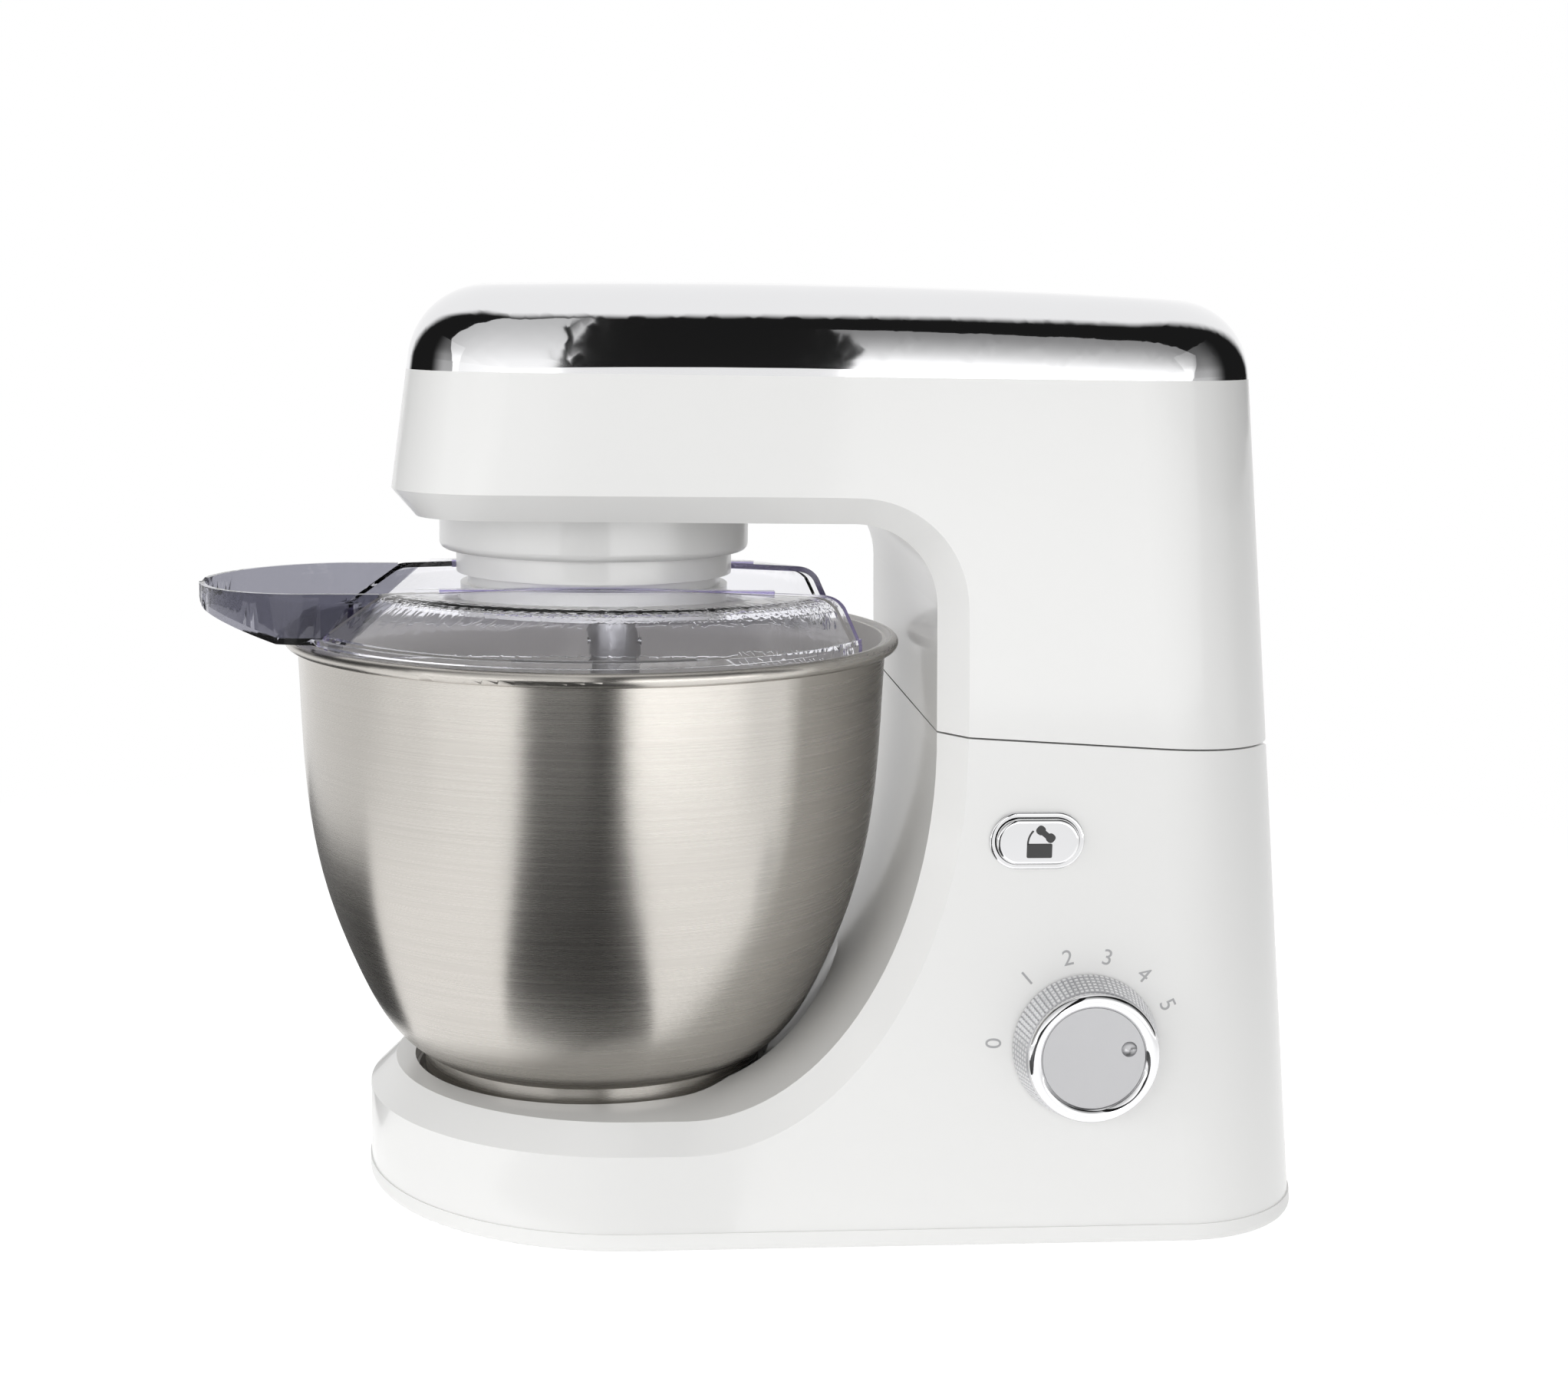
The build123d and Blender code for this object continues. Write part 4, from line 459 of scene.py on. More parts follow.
def brush_group():
    """Brushing: fine lines along the surface, drawn out by the scale that the material's mapping gives."""
    if "brush_lines" in bpy.data.node_groups:
        return bpy.data.node_groups["brush_lines"]
    tree, entry, out = shader_group("brush_lines", colour=(0.6, 0.6, 0.6, 1), roughness=0.3, Streak=0.25)
    lines = add_noise(tree, entry.outputs["Vector"], scale=1.0, detail=4.0, roughness=0.7)
    drift_finish(tree, entry, out, lines, entry.outputs["Streak"])
    feed(tree, lines, out.inputs["Height"])
    return tree


def finish_material(name, group, colour, bump, shader_values, stretch=(1, 1, 1), **amounts):
    """A material whose colour, roughness and bump come from one of the shared groups."""
    material = bpy.data.materials.new(name)
    material.use_nodes = True
    tree = material.node_tree
    shader = tree.nodes["Principled BSDF"]
    for label, value in shader_values.items():
        shader.inputs[label.replace("_", " ")].default_value = value
    place = tree.nodes.new("ShaderNodeTexCoord")
    mapping = tree.nodes.new("ShaderNodeMapping")
    mapping.inputs["Scale"].default_value = stretch
    pattern = tree.nodes.new("ShaderNodeGroup")
    pattern.node_tree = group
    pattern.inputs["Colour"].default_value = (*colour, 1)
    for label, value in amounts.items():
        pattern.inputs[label].default_value = value
    relief = tree.nodes.new("ShaderNodeBump")
    relief.inputs["Strength"].default_value = bump
    relief.inputs["Distance"].default_value = BUMP_DEPTH
    feed(tree, place.outputs["Object"], mapping.inputs["Vector"])
    feed(tree, mapping.outputs["Vector"], pattern.inputs["Vector"])
    feed(tree, pattern.outputs["Colour"], shader.inputs["Base Color"])
    feed(tree, pattern.outputs["Roughness"], shader.inputs["Roughness"])
    feed(tree, pattern.outputs["Height"], relief.inputs["Height"])
    feed(tree, relief.outputs["Normal"], shader.inputs["Normal"])
    return material


def grained(name, colour, scale, drift, roughness, bump, **shader_values):
    """A moulded or cast finish. Further values are the shader's own, with underscores in their names."""
    return finish_material(
        name, grain_group(), colour, bump, shader_values, Scale=scale, Drift=drift, Roughness=roughness)


def brushed(name, colour, streak, roughness, bump, stretch, **shader_values):
    """A metal with fine lines. Further values are the shader's own, with underscores in their names."""
    return finish_material(
        name, brush_group(), colour, bump, {"Metallic": 1.0, **shader_values}, stretch,
        Streak=streak, Roughness=roughness)


def satin_inside(material, colour):
    """Makes the bowl's finish duller on the faces that look towards its axis, a satin finish, and lighter
    there as painted light on its shaded inside.
    """
    tree = material.node_tree
    shader = tree.nodes["Principled BSDF"]
    place = tree.nodes.new("ShaderNodeTexCoord")
    from_middle = add_vector_math(tree, "SUBTRACT", place.outputs["Object"], BOWL_CENTRE)
    level = add_vector_math(tree, "MULTIPLY", from_middle, (1, 1, 0))
    outward = add_vector_math(tree, "NORMALIZE", level)
    facing = add_vector_math(tree, "DOT_PRODUCT", outward, place.outputs["Normal"], output="Value")
    inside = add_range(tree, facing, start=(INSIDE_BLEND, -INSIDE_BLEND))
    # Painted light: the lighter colour on the inside faces
    tint = tree.nodes.new("ShaderNodeMix")
    tint.data_type = "RGBA"
    feed(tree, inside, tint.inputs["Factor"])
    feed(tree, shader.inputs["Base Color"].links[0].from_socket, tint.inputs[MIX_FIRST_COLOUR])
    feed(tree, (*colour, 1), tint.inputs[MIX_SECOND_COLOUR])
    feed(tree, tint.outputs[MIX_COLOUR_RESULT], shader.inputs["Base Color"])
    feed(tree, add_range(tree, inside, end=(1.0, INSIDE_METAL)), shader.inputs["Metallic"])
    dull = add_range(tree, inside, end=(1.0, INSIDE_ROUGHNESS))
    rough = add_math(tree, "MULTIPLY", shader.inputs["Roughness"].links[0].from_socket, dull)
    feed(tree, rough, shader.inputs["Roughness"])
    return material


def clear_material(name, tint, bend):
    """Clear moulding that bends what is seen through it, and lets light straight through to the inside."""
    material = bpy.data.materials.new(name)
    material.use_nodes = True
    tree = material.node_tree
    shader = tree.nodes["Principled BSDF"]
    shader.inputs["Base Color"].default_value = (*tint, 1)
    shader.inputs["Transmission Weight"].default_value = 1.0
    shader.inputs["IOR"].default_value = bend
    place = tree.nodes.new("ShaderNodeTexCoord")
    haze = add_noise(tree, place.outputs["Object"], scale=35.0)
    feed(tree, add_range(tree, haze, end=(0.0, CLEAR_HAZE)), shader.inputs["Roughness"])
    through = tree.nodes.new("ShaderNodeBsdfTransparent")
    through.inputs["Color"].default_value = (*tint, 1)
    seen = tree.nodes.new("ShaderNodeLightPath")
    show_either(tree, seen.outputs["Is Shadow Ray"], shader, through)
    return material


def make_finishes(colours):
    """One material for each slot of the record."""
    return {
        "white_shell": grained(
            "white_shell", colours.white, scale=1400.0, drift=0.02, roughness=0.32, bump=0.03,
            Coat_Weight=0.4, Coat_Roughness=0.08),
        "grey_plastic": grained(
            "grey_plastic", colours.white, scale=900.0, drift=0.04, roughness=0.42, bump=0.08),
        "rubber": grained(
            "black_rubber", (0.03, 0.03, 0.03), scale=700.0, drift=0.2, roughness=0.7, bump=0.25),
        "chrome": grained(
            "mirror_chrome", colours.chrome, scale=60.0, drift=0.03, roughness=0.05, bump=0.0, Metallic=1.0),
        "bowl_steel": satin_inside(
            brushed(
                "brushed_bowl", colours.bowl, streak=0.3, roughness=0.27, bump=0.06, stretch=(8, 8, 1600),
                Anisotropic=0.8, Anisotropic_Rotation=0.25),
            colours.bowl_inside),
        "clear_guard": clear_material("clear_moulding", colours.guard, CLEAR_BEND),
        "silver": grained(
            "satin_silver", (0.46, 0.46, 0.47), scale=2600.0, drift=0.05, roughness=0.3, bump=0.1,
            Metallic=1.0),
        "steel": brushed(
            "machined_steel", (0.55, 0.55, 0.56), streak=0.3, roughness=0.32, bump=0.1,
            stretch=(60, 60, 900)),
        "bronze": grained(
            "sintered_bronze", (0.62, 0.40, 0.22), scale=1500.0, drift=0.1, roughness=0.4, bump=0.1,
            Metallic=1.0),
        "nylon": grained(
            "natural_nylon", (0.80, 0.77, 0.68), scale=1000.0, drift=0.05, roughness=0.45, bump=0.06,
            Subsurface_Weight=0.1),
        "beater": grained(
            "cast_beater", (0.55, 0.55, 0.56), scale=500.0, drift=0.08, roughness=0.36, bump=0.12,
            Metallic=1.0),
        "board": grained(
            "circuit_board", (0.04, 0.20, 0.09), scale=300.0, drift=0.25, roughness=0.4, bump=0.15),
    }


def make_detail_finishes(colours):
    """The materials of the pieces that the scene adds."""
    grained("grey_print", colours.print_grey, scale=1200.0, drift=0.1, roughness=0.5, bump=0.02)
    grained("sign_black", colours.sign, scale=1200.0, drift=0.1, roughness=0.4, bump=0.02)
    grained(
        "knurled_silver", (0.90, 0.90, 0.91), scale=2600.0, drift=0.05, roughness=0.3, bump=0.1,
        Metallic=1.0)
    # Painted shade: the darker silver of the grip's grooves
    grained(
        "groove_painted_shade", (0.64, 0.64, 0.66), scale=2600.0, drift=0.1, roughness=0.4, bump=0.1,
        Metallic=1.0)
    # Painted shade: the spout is tinted darker to stand for the dark reflections in its thick clear walls
    clear_material("spout_painted_shade", colours.spout, SPOUT_SHADE_BEND)
    # Painted light: the violet glow in the guard's cut edges
    grained(
        "guard_edge", colours.guard_edge, scale=300.0, drift=0.5, roughness=0.12, bump=0.0,
        Transmission_Weight=0.7)


class MIXER_OT_finishes(bpy.types.Operator):
    """Give every piece of the mixer the finish of its slot"""

    bl_idname = "mixer.finishes"
    bl_label = "Finishes"

    def execute(self, context):
        finishes = make_finishes(context.scene.mixer_finish)
        make_detail_finishes(context.scene.mixer_finish)
        for entry in frame["record"]["subparts"]:
            mesh = NODES[entry["node"]].data
            mesh.materials.clear()
            mesh.materials.append(finishes[entry["material_slot"]])
        return {"FINISHED"}


class MIXER_OT_clear_guard(bpy.types.Operator):
    """Cast the splash guard in clear moulding, with painted shade in its spout and painted violet light in
    its cut edges
    """

    bl_idname = "mixer.clear_guard"
    bl_label = "Clear Guard"

    def execute(self, context):
        guard = settle(copy_node("splash_guard"), "guard_sheet", "clear_moulding", "head")
        guard.data.materials.append(bpy.data.materials["guard_edge"])
        guard.data.materials.append(bpy.data.materials["spout_painted_shade"])
        edge_index = guard.data.materials.find("guard_edge")
        spout_shade_index = guard.data.materials.find("spout_painted_shade")
        slot = context.scene.mixer_sizes.guard_slot
        for face in guard.data.polygons:
            # The spout's faces get the painted shade
            if self.is_spout(face.center):
                face.material_index = spout_shade_index
            # The slot's walls and the skirt's lower edge get the painted violet light
            elif self.is_cut(face.center, face.normal, slot):
                face.material_index = edge_index
        bpy.ops.object.shade_flat()
        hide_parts("splash_guard")
        return {"FINISHED"}

    def is_spout(self, centre):
        """True for the faces of the feed spout, without the skirt under it."""
        in_length = centre.x < GUARD_LOW.x + SPOUT_LENGTH
        return in_length and abs(centre.y) < SPOUT_HALF and centre.z > GUARD_LOW.z + SKIRT_HEIGHT

    def is_cut(self, centre, normal, slot):
        """True for the faces along the slot and the skirt's lower edge."""
        beside_slot = abs(abs(centre.y) - slot) < SLOT_MARGIN and abs(normal.y) > SLOT_FACING
        skirt_edge = centre.z < GUARD_LOW.z + SKIRT_MARGIN and normal.z < SKIRT_FACING
        return beside_slot or skirt_edge


class MIXER_OT_dial_numbers(bpy.types.Operator):
    """Print the numbers round the speed knob, each with its top outwards"""

    bl_idname = "mixer.dial_numbers"
    bl_label = "Dial Numbers"

    def execute(self, context):
        sizes = context.scene.mixer_sizes
        printed = []
        for number, angle in enumerate(NUMBER_ANGLES):
            deselect()
            bpy.ops.object.text_add()
            text = context.object
            text.data.body = str(number)
            text.data.size = sizes.number_height / DIGIT_SHARE
            text.data.align_x = "CENTER"
            text.data.align_y = "CENTER"
            text.data.extrude = sizes.print_depth / 2
            bpy.ops.object.convert(target="MESH")
            turn = math.radians(angle)
            place = Vector((
                KNOB_CENTRE.x + sizes.number_radius * math.cos(turn),
                SIDE_Y - sizes.print_depth / 2,
                KNOB_CENTRE.z + sizes.number_radius * math.sin(turn)))
            upright = Matrix.Rotation(math.radians(90), 4, "X")
            outwards = Matrix.Rotation(math.radians(90) - turn, 4, "Y")
            context.object.matrix_world = Matrix.Translation(place) @ outwards @ upright
            printed.append(context.object)
        settle(join_pieces(printed), "dial_numbers", "grey_print", "base")
        return {"FINISHED"}


class MIXER_OT_knob_grip(bpy.types.Operator):
    """Wrap the knob's tapered skirt in rows of raised pads"""

    bl_idname = "mixer.knob_grip"
    bl_label = "Knob Grip"

    def execute(self, context):
        sizes = context.scene.mixer_sizes
        back_radius = (KNOB_HIGH.x - KNOB_LOW.x) / 2
        front_radius = (RING_HIGH.x - RING_LOW.x) / 2
        length = KNOB_HIGH.y - RING_HIGH.y
        start = Vector((KNOB_CENTRE.x, KNOB_HIGH.y, KNOB_CENTRE.z))
        deselect()
        bpy.ops.mesh.primitive_circle_add(
            vertices=sizes.grip_columns, radius=back_radius, location=start,
            rotation=(math.radians(90), 0, 0))
        grip = context.object
        apply_place()
        bpy.ops.object.mode_set(mode="EDIT")
        radius = back_radius
        for row in range(1, sizes.grip_rows + 1):
            wanted = back_radius + (front_radius - back_radius) * row / sizes.grip_rows
            bpy.ops.mesh.extrude_edges_move(
                TRANSFORM_OT_translate={"value": (0, -length / sizes.grip_rows, 0)})
            bpy.ops.transform.resize(value=(wanted / radius, 1, wanted / radius), center_override=start)
            radius = wanted
        bpy.ops.mesh.select_all(action="SELECT")
        bpy.ops.mesh.normals_make_consistent(inside=False)
        bpy.ops.mesh.inset(thickness=sizes.grip_relief, depth=sizes.grip_relief, use_individual=True)
        bpy.ops.object.mode_set(mode="OBJECT")
        wall = grip.modifiers.new("wall", "SOLIDIFY")
        wall.thickness = GRIP_WALL
        wall.offset = -1
        bpy.ops.object.modifier_apply(modifier=wall.name)
        settle(grip, "knob_grip", "knurled_silver", "knob")
        grip.data.materials.append(bpy.data.materials["groove_painted_shade"])
        # Faces that don't look squarely outwards, the pads' sides in the grooves, get the painted shade
        lean = Vector((length, front_radius - back_radius)).normalized()
        for face in grip.data.polygons:
            out = Vector((face.center.x - start.x, 0, face.center.z - start.z)).normalized()
            level = face.normal.dot(out) * lean.x + face.normal.y * lean.y
            face.material_index = int(level < PAD_LEVEL)
        return {"FINISHED"}


class MIXER_OT_button_sign(bpy.types.Operator):
    """Print the sign of a raised head on the release button"""

    bl_idname = "mixer.button_sign"
    bl_label = "Button Sign"

    def execute(self, context):
        depth = context.scene.mixer_sizes.print_depth
        face_y = CAP_LOW.y - depth / 2
        parts = [self.add_plate(face_y, depth, **plate) for plate in (SIGN_FOOT, SIGN_ARM)]
        parts += [self.add_plate(face_y - depth / 4, depth, **plate) for plate in SIGN_ENDS]
        parts.append(self.add_arc(face_y, depth))
        settle(join_pieces(parts), "button_sign", "sign_black", "button")
        return {"FINISHED"}

    def add_plate(self, face_y, depth, middle, size, turn, corner):
        """A flat plate with rounded corners on the button's face."""
        place = (CAP_CENTRE.x + middle[0], face_y, CAP_CENTRE.z + middle[1])
        length, height = size
        deselect()
        bpy.ops.mesh.primitive_cube_add(size=1, location=place, rotation=(0, math.radians(-turn), 0))
        plate = bpy.context.object
        plate.scale = (length, depth, height)
        apply_place()
        bpy.ops.object.mode_set(mode="EDIT")
        select_edges(plate.data, lambda start, end: abs(end.y - start.y) > depth / 2)
        bpy.ops.mesh.bevel(offset=corner, segments=SIGN_CORNER_STEPS)
        bpy.ops.object.mode_set(mode="OBJECT")
        return plate

    def add_arc(self, face_y, depth):
        """The thin arc that shows which way the head goes."""
        middle = Vector((CAP_CENTRE.x + ARC_MIDDLE[0], face_y, CAP_CENTRE.z + ARC_MIDDLE[1]))
        deselect()
        bpy.ops.mesh.primitive_cube_add(size=1, location=middle + Vector((-ARC_RADIUS, 0, 0)))
        arc = bpy.context.object
        arc.scale = (ARC_WIDTH, depth, ARC_START)
        apply_place()
        bpy.ops.object.mode_set(mode="EDIT")
        select_faces(arc.data, lambda normal: normal.z > 0.5)
        bpy.ops.mesh.spin(steps=ARC_STEPS, angle=ARC_ANGLE, center=middle, axis=(0, -1, 0))
        bpy.ops.mesh.select_all(action="SELECT")
        bpy.ops.mesh.normals_make_consistent(inside=False)
        bpy.ops.object.mode_set(mode="OBJECT")
        return arc


class MIXER_OT_return_spring(bpy.types.Operator):
    """Copy the spring behind the release button as a piece of its own that moves with the button"""

    bl_idname = "mixer.return_spring"
    bl_label = "Return Spring"

    def execute(self, context):
        spring = settle(copy_node("button_spring"), "return_spring", "machined_steel", "button")
        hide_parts("button_spring")
        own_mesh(spring)
        return {"FINISHED"}


class MIXER_OT_tray_screws(bpy.types.Operator):
    """Put cross-head screws into the underside of the tray"""

    bl_idname = "mixer.tray_screws"
    bl_label = "Tray Screws"

    def execute(self, context):
        sizes = context.scene.mixer_sizes
        length = TRAY_HIGH.x - TRAY_LOW.x
        places = [Vector((TRAY_LOW.x + share * length, side, TRAY_LOW.z)) for share, side in SCREW_PLACES]
        screw = self.add_screw(places[0], sizes.screw_radius, sizes.screw_height)
        screws = [screw]
        for place in places[1:]:
            pick(screw)
            bpy.ops.object.duplicate()
            bpy.ops.transform.translate(value=place - places[0])
            screws.append(context.object)
        settle(join_pieces(screws), "tray_screws", "machined_steel", "base")
        bpy.ops.object.shade_smooth_by_angle(angle=SCREW_SMOOTH)
        return {"FINISHED"}

    def add_screw(self, place, radius, height):
        """A pan head that points down, with a sunk cross in it."""
        deselect()
        bpy.ops.mesh.primitive_cylinder_add(
            vertices=SCREW_SIDES, radius=radius, depth=height, location=place - Vector((0, 0, height / 2)))
        screw = bpy.context.object
        apply_place()
        bpy.ops.object.mode_set(mode="EDIT")
        select_faces(screw.data, lambda normal: normal.z < -0.9)
        bpy.ops.mesh.bevel(offset=height * SCREW_ROUNDING, segments=SCREW_ROUND_STEPS, affect="EDGES")
        bpy.ops.object.mode_set(mode="OBJECT")
        for turn in (0, 90):
            deselect()
            bpy.ops.mesh.primitive_cube_add(
                size=1, location=place - Vector((0, 0, height)), rotation=(0, 0, math.radians(turn)))
            bar = bpy.context.object
            bar.scale = (radius * CROSS_LENGTH, radius * CROSS_WIDTH, height * CROSS_DEPTH)
            pick(screw)
            cross = screw.modifiers.new("cross", "BOOLEAN")
            cross.object = bar
            bpy.ops.object.modifier_apply(modifier=cross.name)
            bpy.data.objects.remove(bar)
        return screw


class MIXER_OT_stage(bpy.types.Operator):
    """Set the floor, the surround, the lamps, the black cards and the camera"""

    bl_idname = "mixer.stage"
    bl_label = "Stage"

    def execute(self, context):
        stage = context.scene.mixer_stage
        self.add_floor(stage.bounce)
        self.set_surround(context.scene, stage.surround, stage.tent)
        self.add_softbox(
            "key_softbox", stage.key, foot=(-0.97, -1.05, 0.02), size=(1.8, 1.43), turn=0,
            top=0.35, end=(1.0, 1.0001))
        self.add_softbox(
            "fill_softbox", stage.fill, foot=(0.82, -1.05, 0.02), size=(1.4, 1.1), turn=0,
            top=0.08, end=(0.8, 1.2))
        self.add_softbox(
            "left_softbox", stage.sides, foot=(-1.9, -0.45, 0.02), size=(1.2, 1.1), turn=-90,
            top=0.1, end=(0.5, 0.0), lights_dull=True)
        self.add_softbox(
            "right_softbox", stage.sides, foot=(1.6, -0.45, 0.02), size=(1.2, 1.1), turn=90,
            top=0.1, end=(0.5, 1.0))
        self.add_dull_light("front_light", stage.front, place=(-0.20, -1.0, 0.35), turn=-11)
        self.add_dull_light("left_light", stage.left, place=(-0.90, -0.60, 0.34), turn=-58)
        self.add_flag()
        self.blacken(self.add_card("stage_card", CARD_PLACE, CARD_SIZE, tilt=0))
        self.add_camera(context.scene)
        context.scene.view_settings.view_transform = "Standard"
        return {"FINISHED"}

    def add_floor(self, bounce):
        """A white floor that turns into the white of the surround away from the mixer, and is clear
        from below. It lights dull surfaces with a share of its glow."""
        deselect()
        bpy.ops.mesh.primitive_plane_add(size=FLOOR_SIZE, location=(0, 0, 0))
        floor = bpy.context.object
        floor.name = "stage_floor"
        paint = bpy.data.materials.new("stage_white")
        paint.use_nodes = True
        tree = paint.node_tree
        shader = tree.nodes["Principled BSDF"]
        shader.inputs["Roughness"].default_value = 0.9
        shader.inputs["Specular IOR Level"].default_value = 0.0
        shader.inputs["Emission Color"].default_value = (1, 1, 1, 1)
        place = tree.nodes.new("ShaderNodeTexCoord")
        reach = add_vector_math(tree, "LENGTH", place.outputs["Object"], output="Value")
        glow = add_range(tree, reach, start=GLOW_REACH, end=(GLOW_NEAR, 1.0), smooth=True)
        shade = add_range(tree, glow, start=(GLOW_NEAR, 1.0), end=(FLOOR_WHITE, 0.0))
        seen = tree.nodes.new("ShaderNodeLightPath")
        dim = add_math(tree, "MULTIPLY_ADD", seen.outputs["Is Diffuse Ray"], bounce - 1, 1)
        feed(tree, shade, shader.inputs["Base Color"])
        feed(tree, add_math(tree, "MULTIPLY", glow, dim), shader.inputs["Emission Strength"])
        side = tree.nodes.new("ShaderNodeNewGeometry")
        clear = tree.nodes.new("ShaderNodeBsdfTransparent")
        show_either(tree, side.outputs["Backfacing"], shader, clear)
        floor.data.materials.append(paint)

    def add_flag(self):
        """A black card that stands in front, with a strip that runs along the floor to the mixer."""
        flag = self.add_card("stage_flag", FLAG_PLACE, FLAG_SIZE, tilt=90)
        bpy.ops.object.mode_set(mode="EDIT")
        middle = FLAG_PLACE[2]
        select_edges(flag.data, lambda start, end: start.z < middle and end.z < middle)
        bpy.ops.mesh.extrude_edges_move(TRANSFORM_OT_translate={"value": (0, FLAG_RUN, 0)})
        bpy.ops.transform.resize(value=(FLAG_NARROWING, 1, 1), center_override=(FLAG_END_X, 0, 0))
        bpy.ops.object.mode_set(mode="OBJECT")
        self.blacken(flag)

    def add_card(self, name, place, size, tilt):
        """A flat card on the stage."""
        deselect()
        bpy.ops.mesh.primitive_plane_add(size=1, location=place, rotation=(math.radians(tilt), 0, 0))
        card = bpy.context.object
        card.name = name
        card.scale = (*size, 1)
        apply_place()
        return card

    def blacken(self, card):
        """Paints a card black and hides it from all but reflections."""
        paint = bpy.data.materials.new("stage_black")
        paint.use_nodes = True
        paint.node_tree.nodes["Principled BSDF"].inputs["Base Color"].default_value = CARD_BLACK
        card.data.materials.append(paint)
        card.visible_camera = False
        card.visible_diffuse = False
        card.visible_shadow = False
        card.visible_transmission = False

    def set_surround(self, scene, strength, tent):
        """For reflections, white behind and over the mixer and dark beside and in front of it. Dull surfaces
        get the tent's even light, and the camera sees plain white."""
        world = bpy.data.worlds.new("stage_surround")
        scene.world = world
        world.use_nodes = True
        tree = world.node_tree
        background = tree.nodes["Background"]
        place = tree.nodes.new("ShaderNodeTexCoord")
        parts = tree.nodes.new("ShaderNodeSeparateXYZ")
        feed(tree, place.outputs["Generated"], parts.inputs["Vector"])
        raised = add_math(tree, "MULTIPLY_ADD", parts.outputs["Z"], SURROUND_RISE, parts.outputs["Y"])
        aside = add_math(tree, "ABSOLUTE", parts.outputs["X"])
        behind = add_math(tree, "MULTIPLY_ADD", aside, SURROUND_ASIDE, raised)
        lit = add_range(tree, behind, start=SURROUND_EDGE, smooth=True)
        mirrored = add_math(tree, "MULTIPLY_ADD", lit, strength, SURROUND_DARK)
        seen = tree.nodes.new("ShaderNodeLightPath")
        around = add_mix(tree, seen.outputs["Is Diffuse Ray"], mirrored, tent)
        backdrop = add_mix(tree, seen.outputs["Is Camera Ray"], around, strength)
        feed(tree, backdrop, background.inputs["Strength"])
        feed(tree, (1, 1, 1, 1), background.inputs["Color"])

    def add_softbox(self, name, power, foot, size, turn, top, end, lights_dull=False):
        """A softbox that stands on its lower edge and leans over the mixer. It fades to a share at its top,
        and along its width from full strength at the first share of it to nothing at the second."""
        lean = math.radians(SOFTBOX_LEAN)
        upwards = Vector((0, math.sin(lean), math.cos(lean)))
        upwards.rotate(Matrix.Rotation(math.radians(turn), 3, "Z"))
        place = Vector(foot) + upwards * size[1] / 2
        lamp = self.add_lamp(name, power, place, size, 90 - SOFTBOX_LEAN, turn)
        lamp.visible_diffuse = lights_dull
        lamp.data.use_nodes = True
        tree = lamp.data.node_tree
        surface = tree.nodes.new("ShaderNodeNewGeometry")
        parts = tree.nodes.new("ShaderNodeSeparateXYZ")
        feed(tree, surface.outputs["Parametric"], parts.inputs["Vector"])
        down = add_math(tree, "SUBTRACT", 1.0, parts.outputs["Y"])
        fade = add_range(tree, add_math(tree, "POWER", down, 2.0), end=(top, 1.0))
        along = add_range(tree, parts.outputs["X"], start=end, end=(1.0, 0.0), smooth=True)
        feed(tree, add_math(tree, "MULTIPLY", fade, along), tree.nodes["Emission"].inputs["Strength"])

    def add_dull_light(self, name, power, place, turn):
        """A soft lamp for dull surfaces, which no reflection shows."""
        lamp = self.add_lamp(name, power, place, DULL_LIGHT_SIZE, DULL_LIGHT_TILT, turn)
        lamp.visible_glossy = False

    def add_lamp(self, name, power, place, size, tilt, turn):
        """A rectangular lamp that the camera doesn't see."""
        deselect()
        bpy.ops.object.light_add(
            type="AREA", location=place, rotation=(math.radians(tilt), 0, math.radians(turn)))
        lamp = bpy.context.object
        lamp.name = name
        lamp.data.shape = "RECTANGLE"
        lamp.data.size, lamp.data.size_y = size
        lamp.data.energy = power
        lamp.visible_camera = False
        return lamp

    def add_camera(self, scene):
        """The camera in the photograph's place."""
        forward = Vector((
            math.sin(CAMERA_YAW) * math.cos(CAMERA_PITCH),
            math.cos(CAMERA_YAW) * math.cos(CAMERA_PITCH),
            -math.sin(CAMERA_PITCH)))
        level = Vector((math.cos(CAMERA_YAW), -math.sin(CAMERA_YAW), 0))
        upright = level.cross(forward)
        right = level * math.cos(CAMERA_ROLL) + upright * math.sin(CAMERA_ROLL)
        up = upright * math.cos(CAMERA_ROLL) - level * math.sin(CAMERA_ROLL)
        turn = Matrix((right, up, -forward)).transposed()
        deselect()
        bpy.ops.object.camera_add(location=CAMERA_PLACE, rotation=turn.to_euler())
        camera = bpy.context.object
        camera.name = "photo_camera"
        camera.data.sensor_fit = "HORIZONTAL"
        camera.data.sensor_width = CAMERA_SENSOR
        camera.data.lens = CAMERA_LENS
        scene.camera = camera


class MIXER_PT_panel(bpy.types.Panel):
    """Shows the mixer's settings and steps in the sidebar"""

    bl_idname = "MIXER_PT_panel"
    bl_label = "Stand Mixer"
    bl_space_type = "VIEW_3D"
    bl_region_type = "UI"
    bl_category = "Mixer"

    def draw(self, context):
        for group in (context.scene.mixer_finish, context.scene.mixer_sizes, context.scene.mixer_stage):
            for name in group.__annotations__:
                self.layout.prop(group, name)
        for step in STEPS:
            self.layout.operator(step.bl_idname)


GROUPS = (MIXER_PG_finish, MIXER_PG_sizes, MIXER_PG_stage)
STEPS = (
    MIXER_OT_finishes, MIXER_OT_clear_guard, MIXER_OT_dial_numbers, MIXER_OT_knob_grip, MIXER_OT_button_sign,
    MIXER_OT_return_spring, MIXER_OT_tray_screws, MIXER_OT_stage)


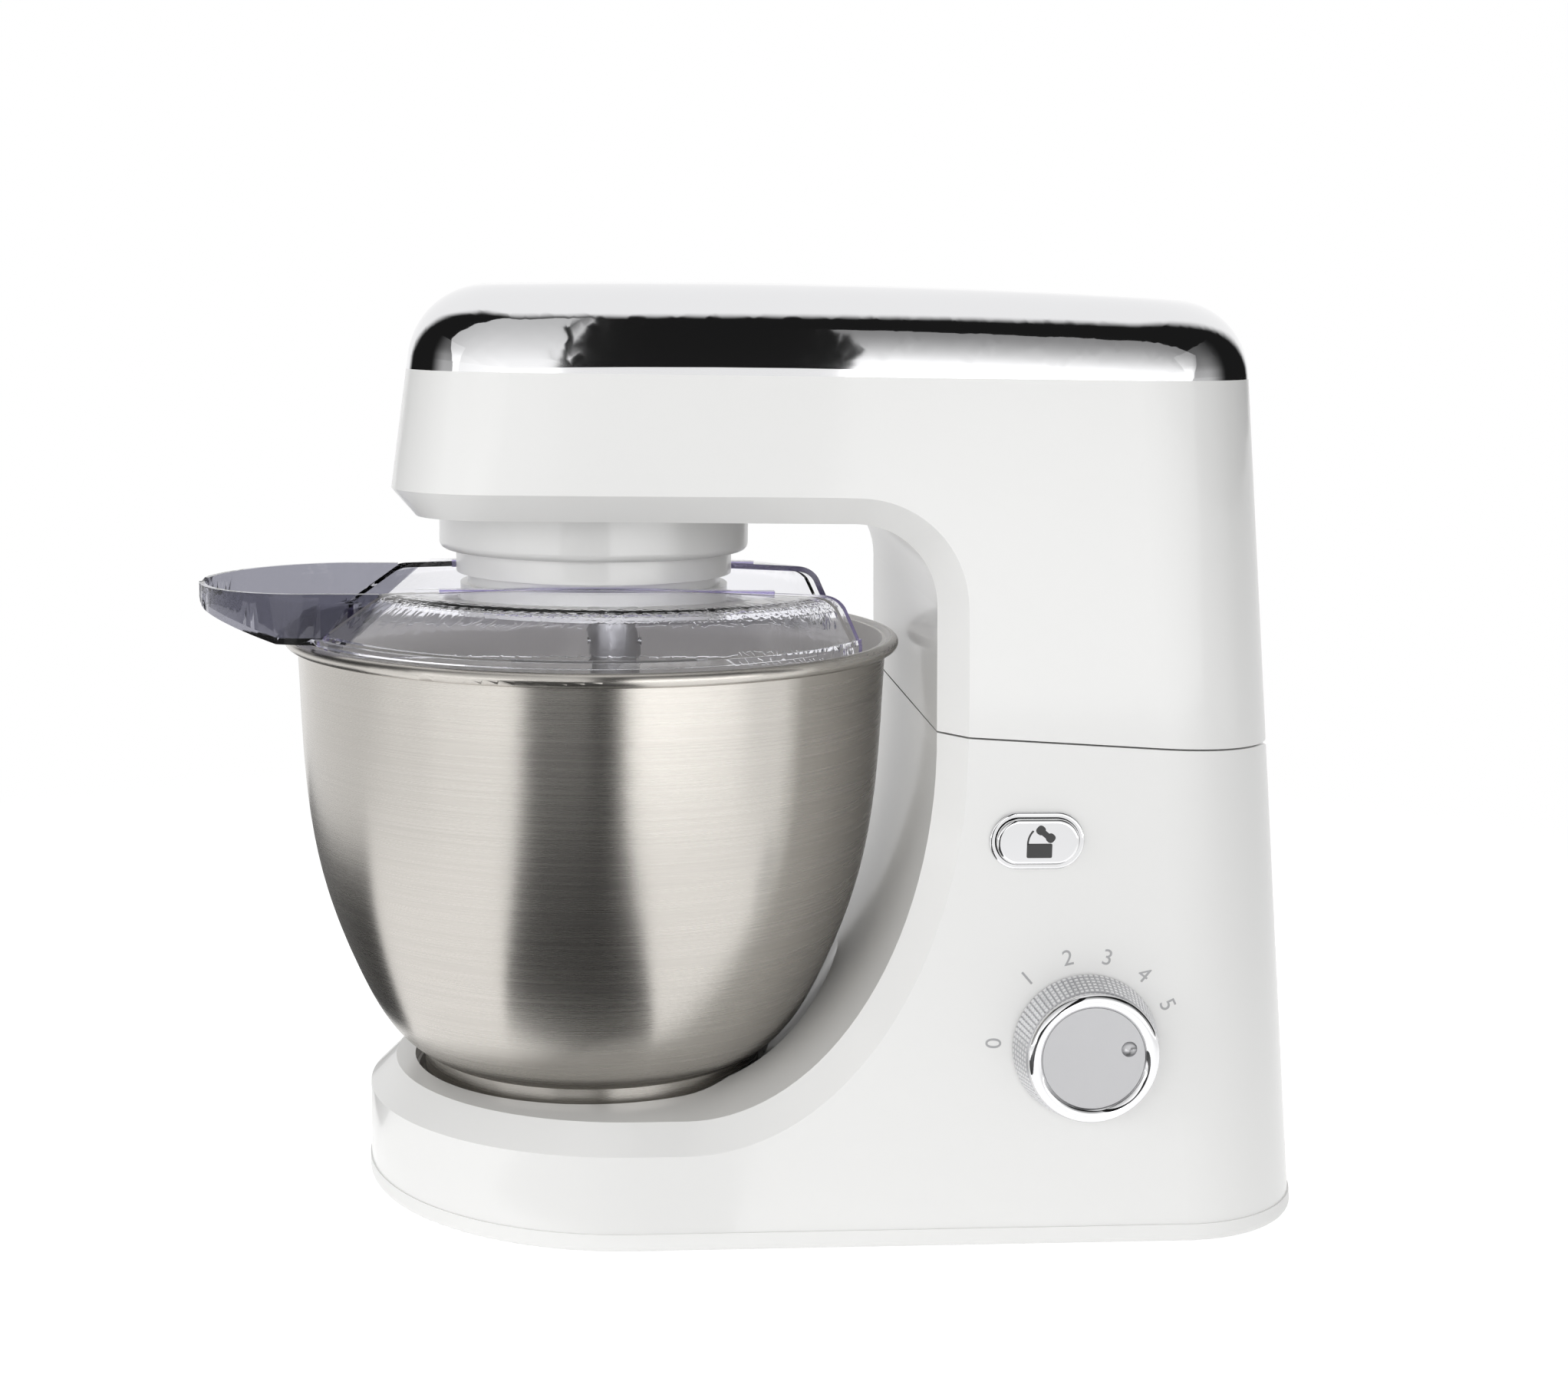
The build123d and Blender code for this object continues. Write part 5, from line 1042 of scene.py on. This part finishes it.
def register():
    for item in (*GROUPS, *STEPS, MIXER_PT_panel):
        bpy.utils.register_class(item)
    bpy.types.Scene.mixer_finish = PointerProperty(type=MIXER_PG_finish)
    bpy.types.Scene.mixer_sizes = PointerProperty(type=MIXER_PG_sizes)
    bpy.types.Scene.mixer_stage = PointerProperty(type=MIXER_PG_stage)


def unregister():
    del bpy.types.Scene.mixer_stage
    del bpy.types.Scene.mixer_sizes
    del bpy.types.Scene.mixer_finish
    for item in reversed((*GROUPS, *STEPS, MIXER_PT_panel)):
        bpy.utils.unregister_class(item)


def main():
    register()
    bpy.ops.mixer.finishes()
    bpy.ops.mixer.clear_guard()
    bpy.ops.mixer.dial_numbers()
    bpy.ops.mixer.knob_grip()
    bpy.ops.mixer.button_sign()
    bpy.ops.mixer.return_spring()
    bpy.ops.mixer.tray_screws()
    bpy.ops.mixer.stage()


if __name__ == "__main__":
    main()
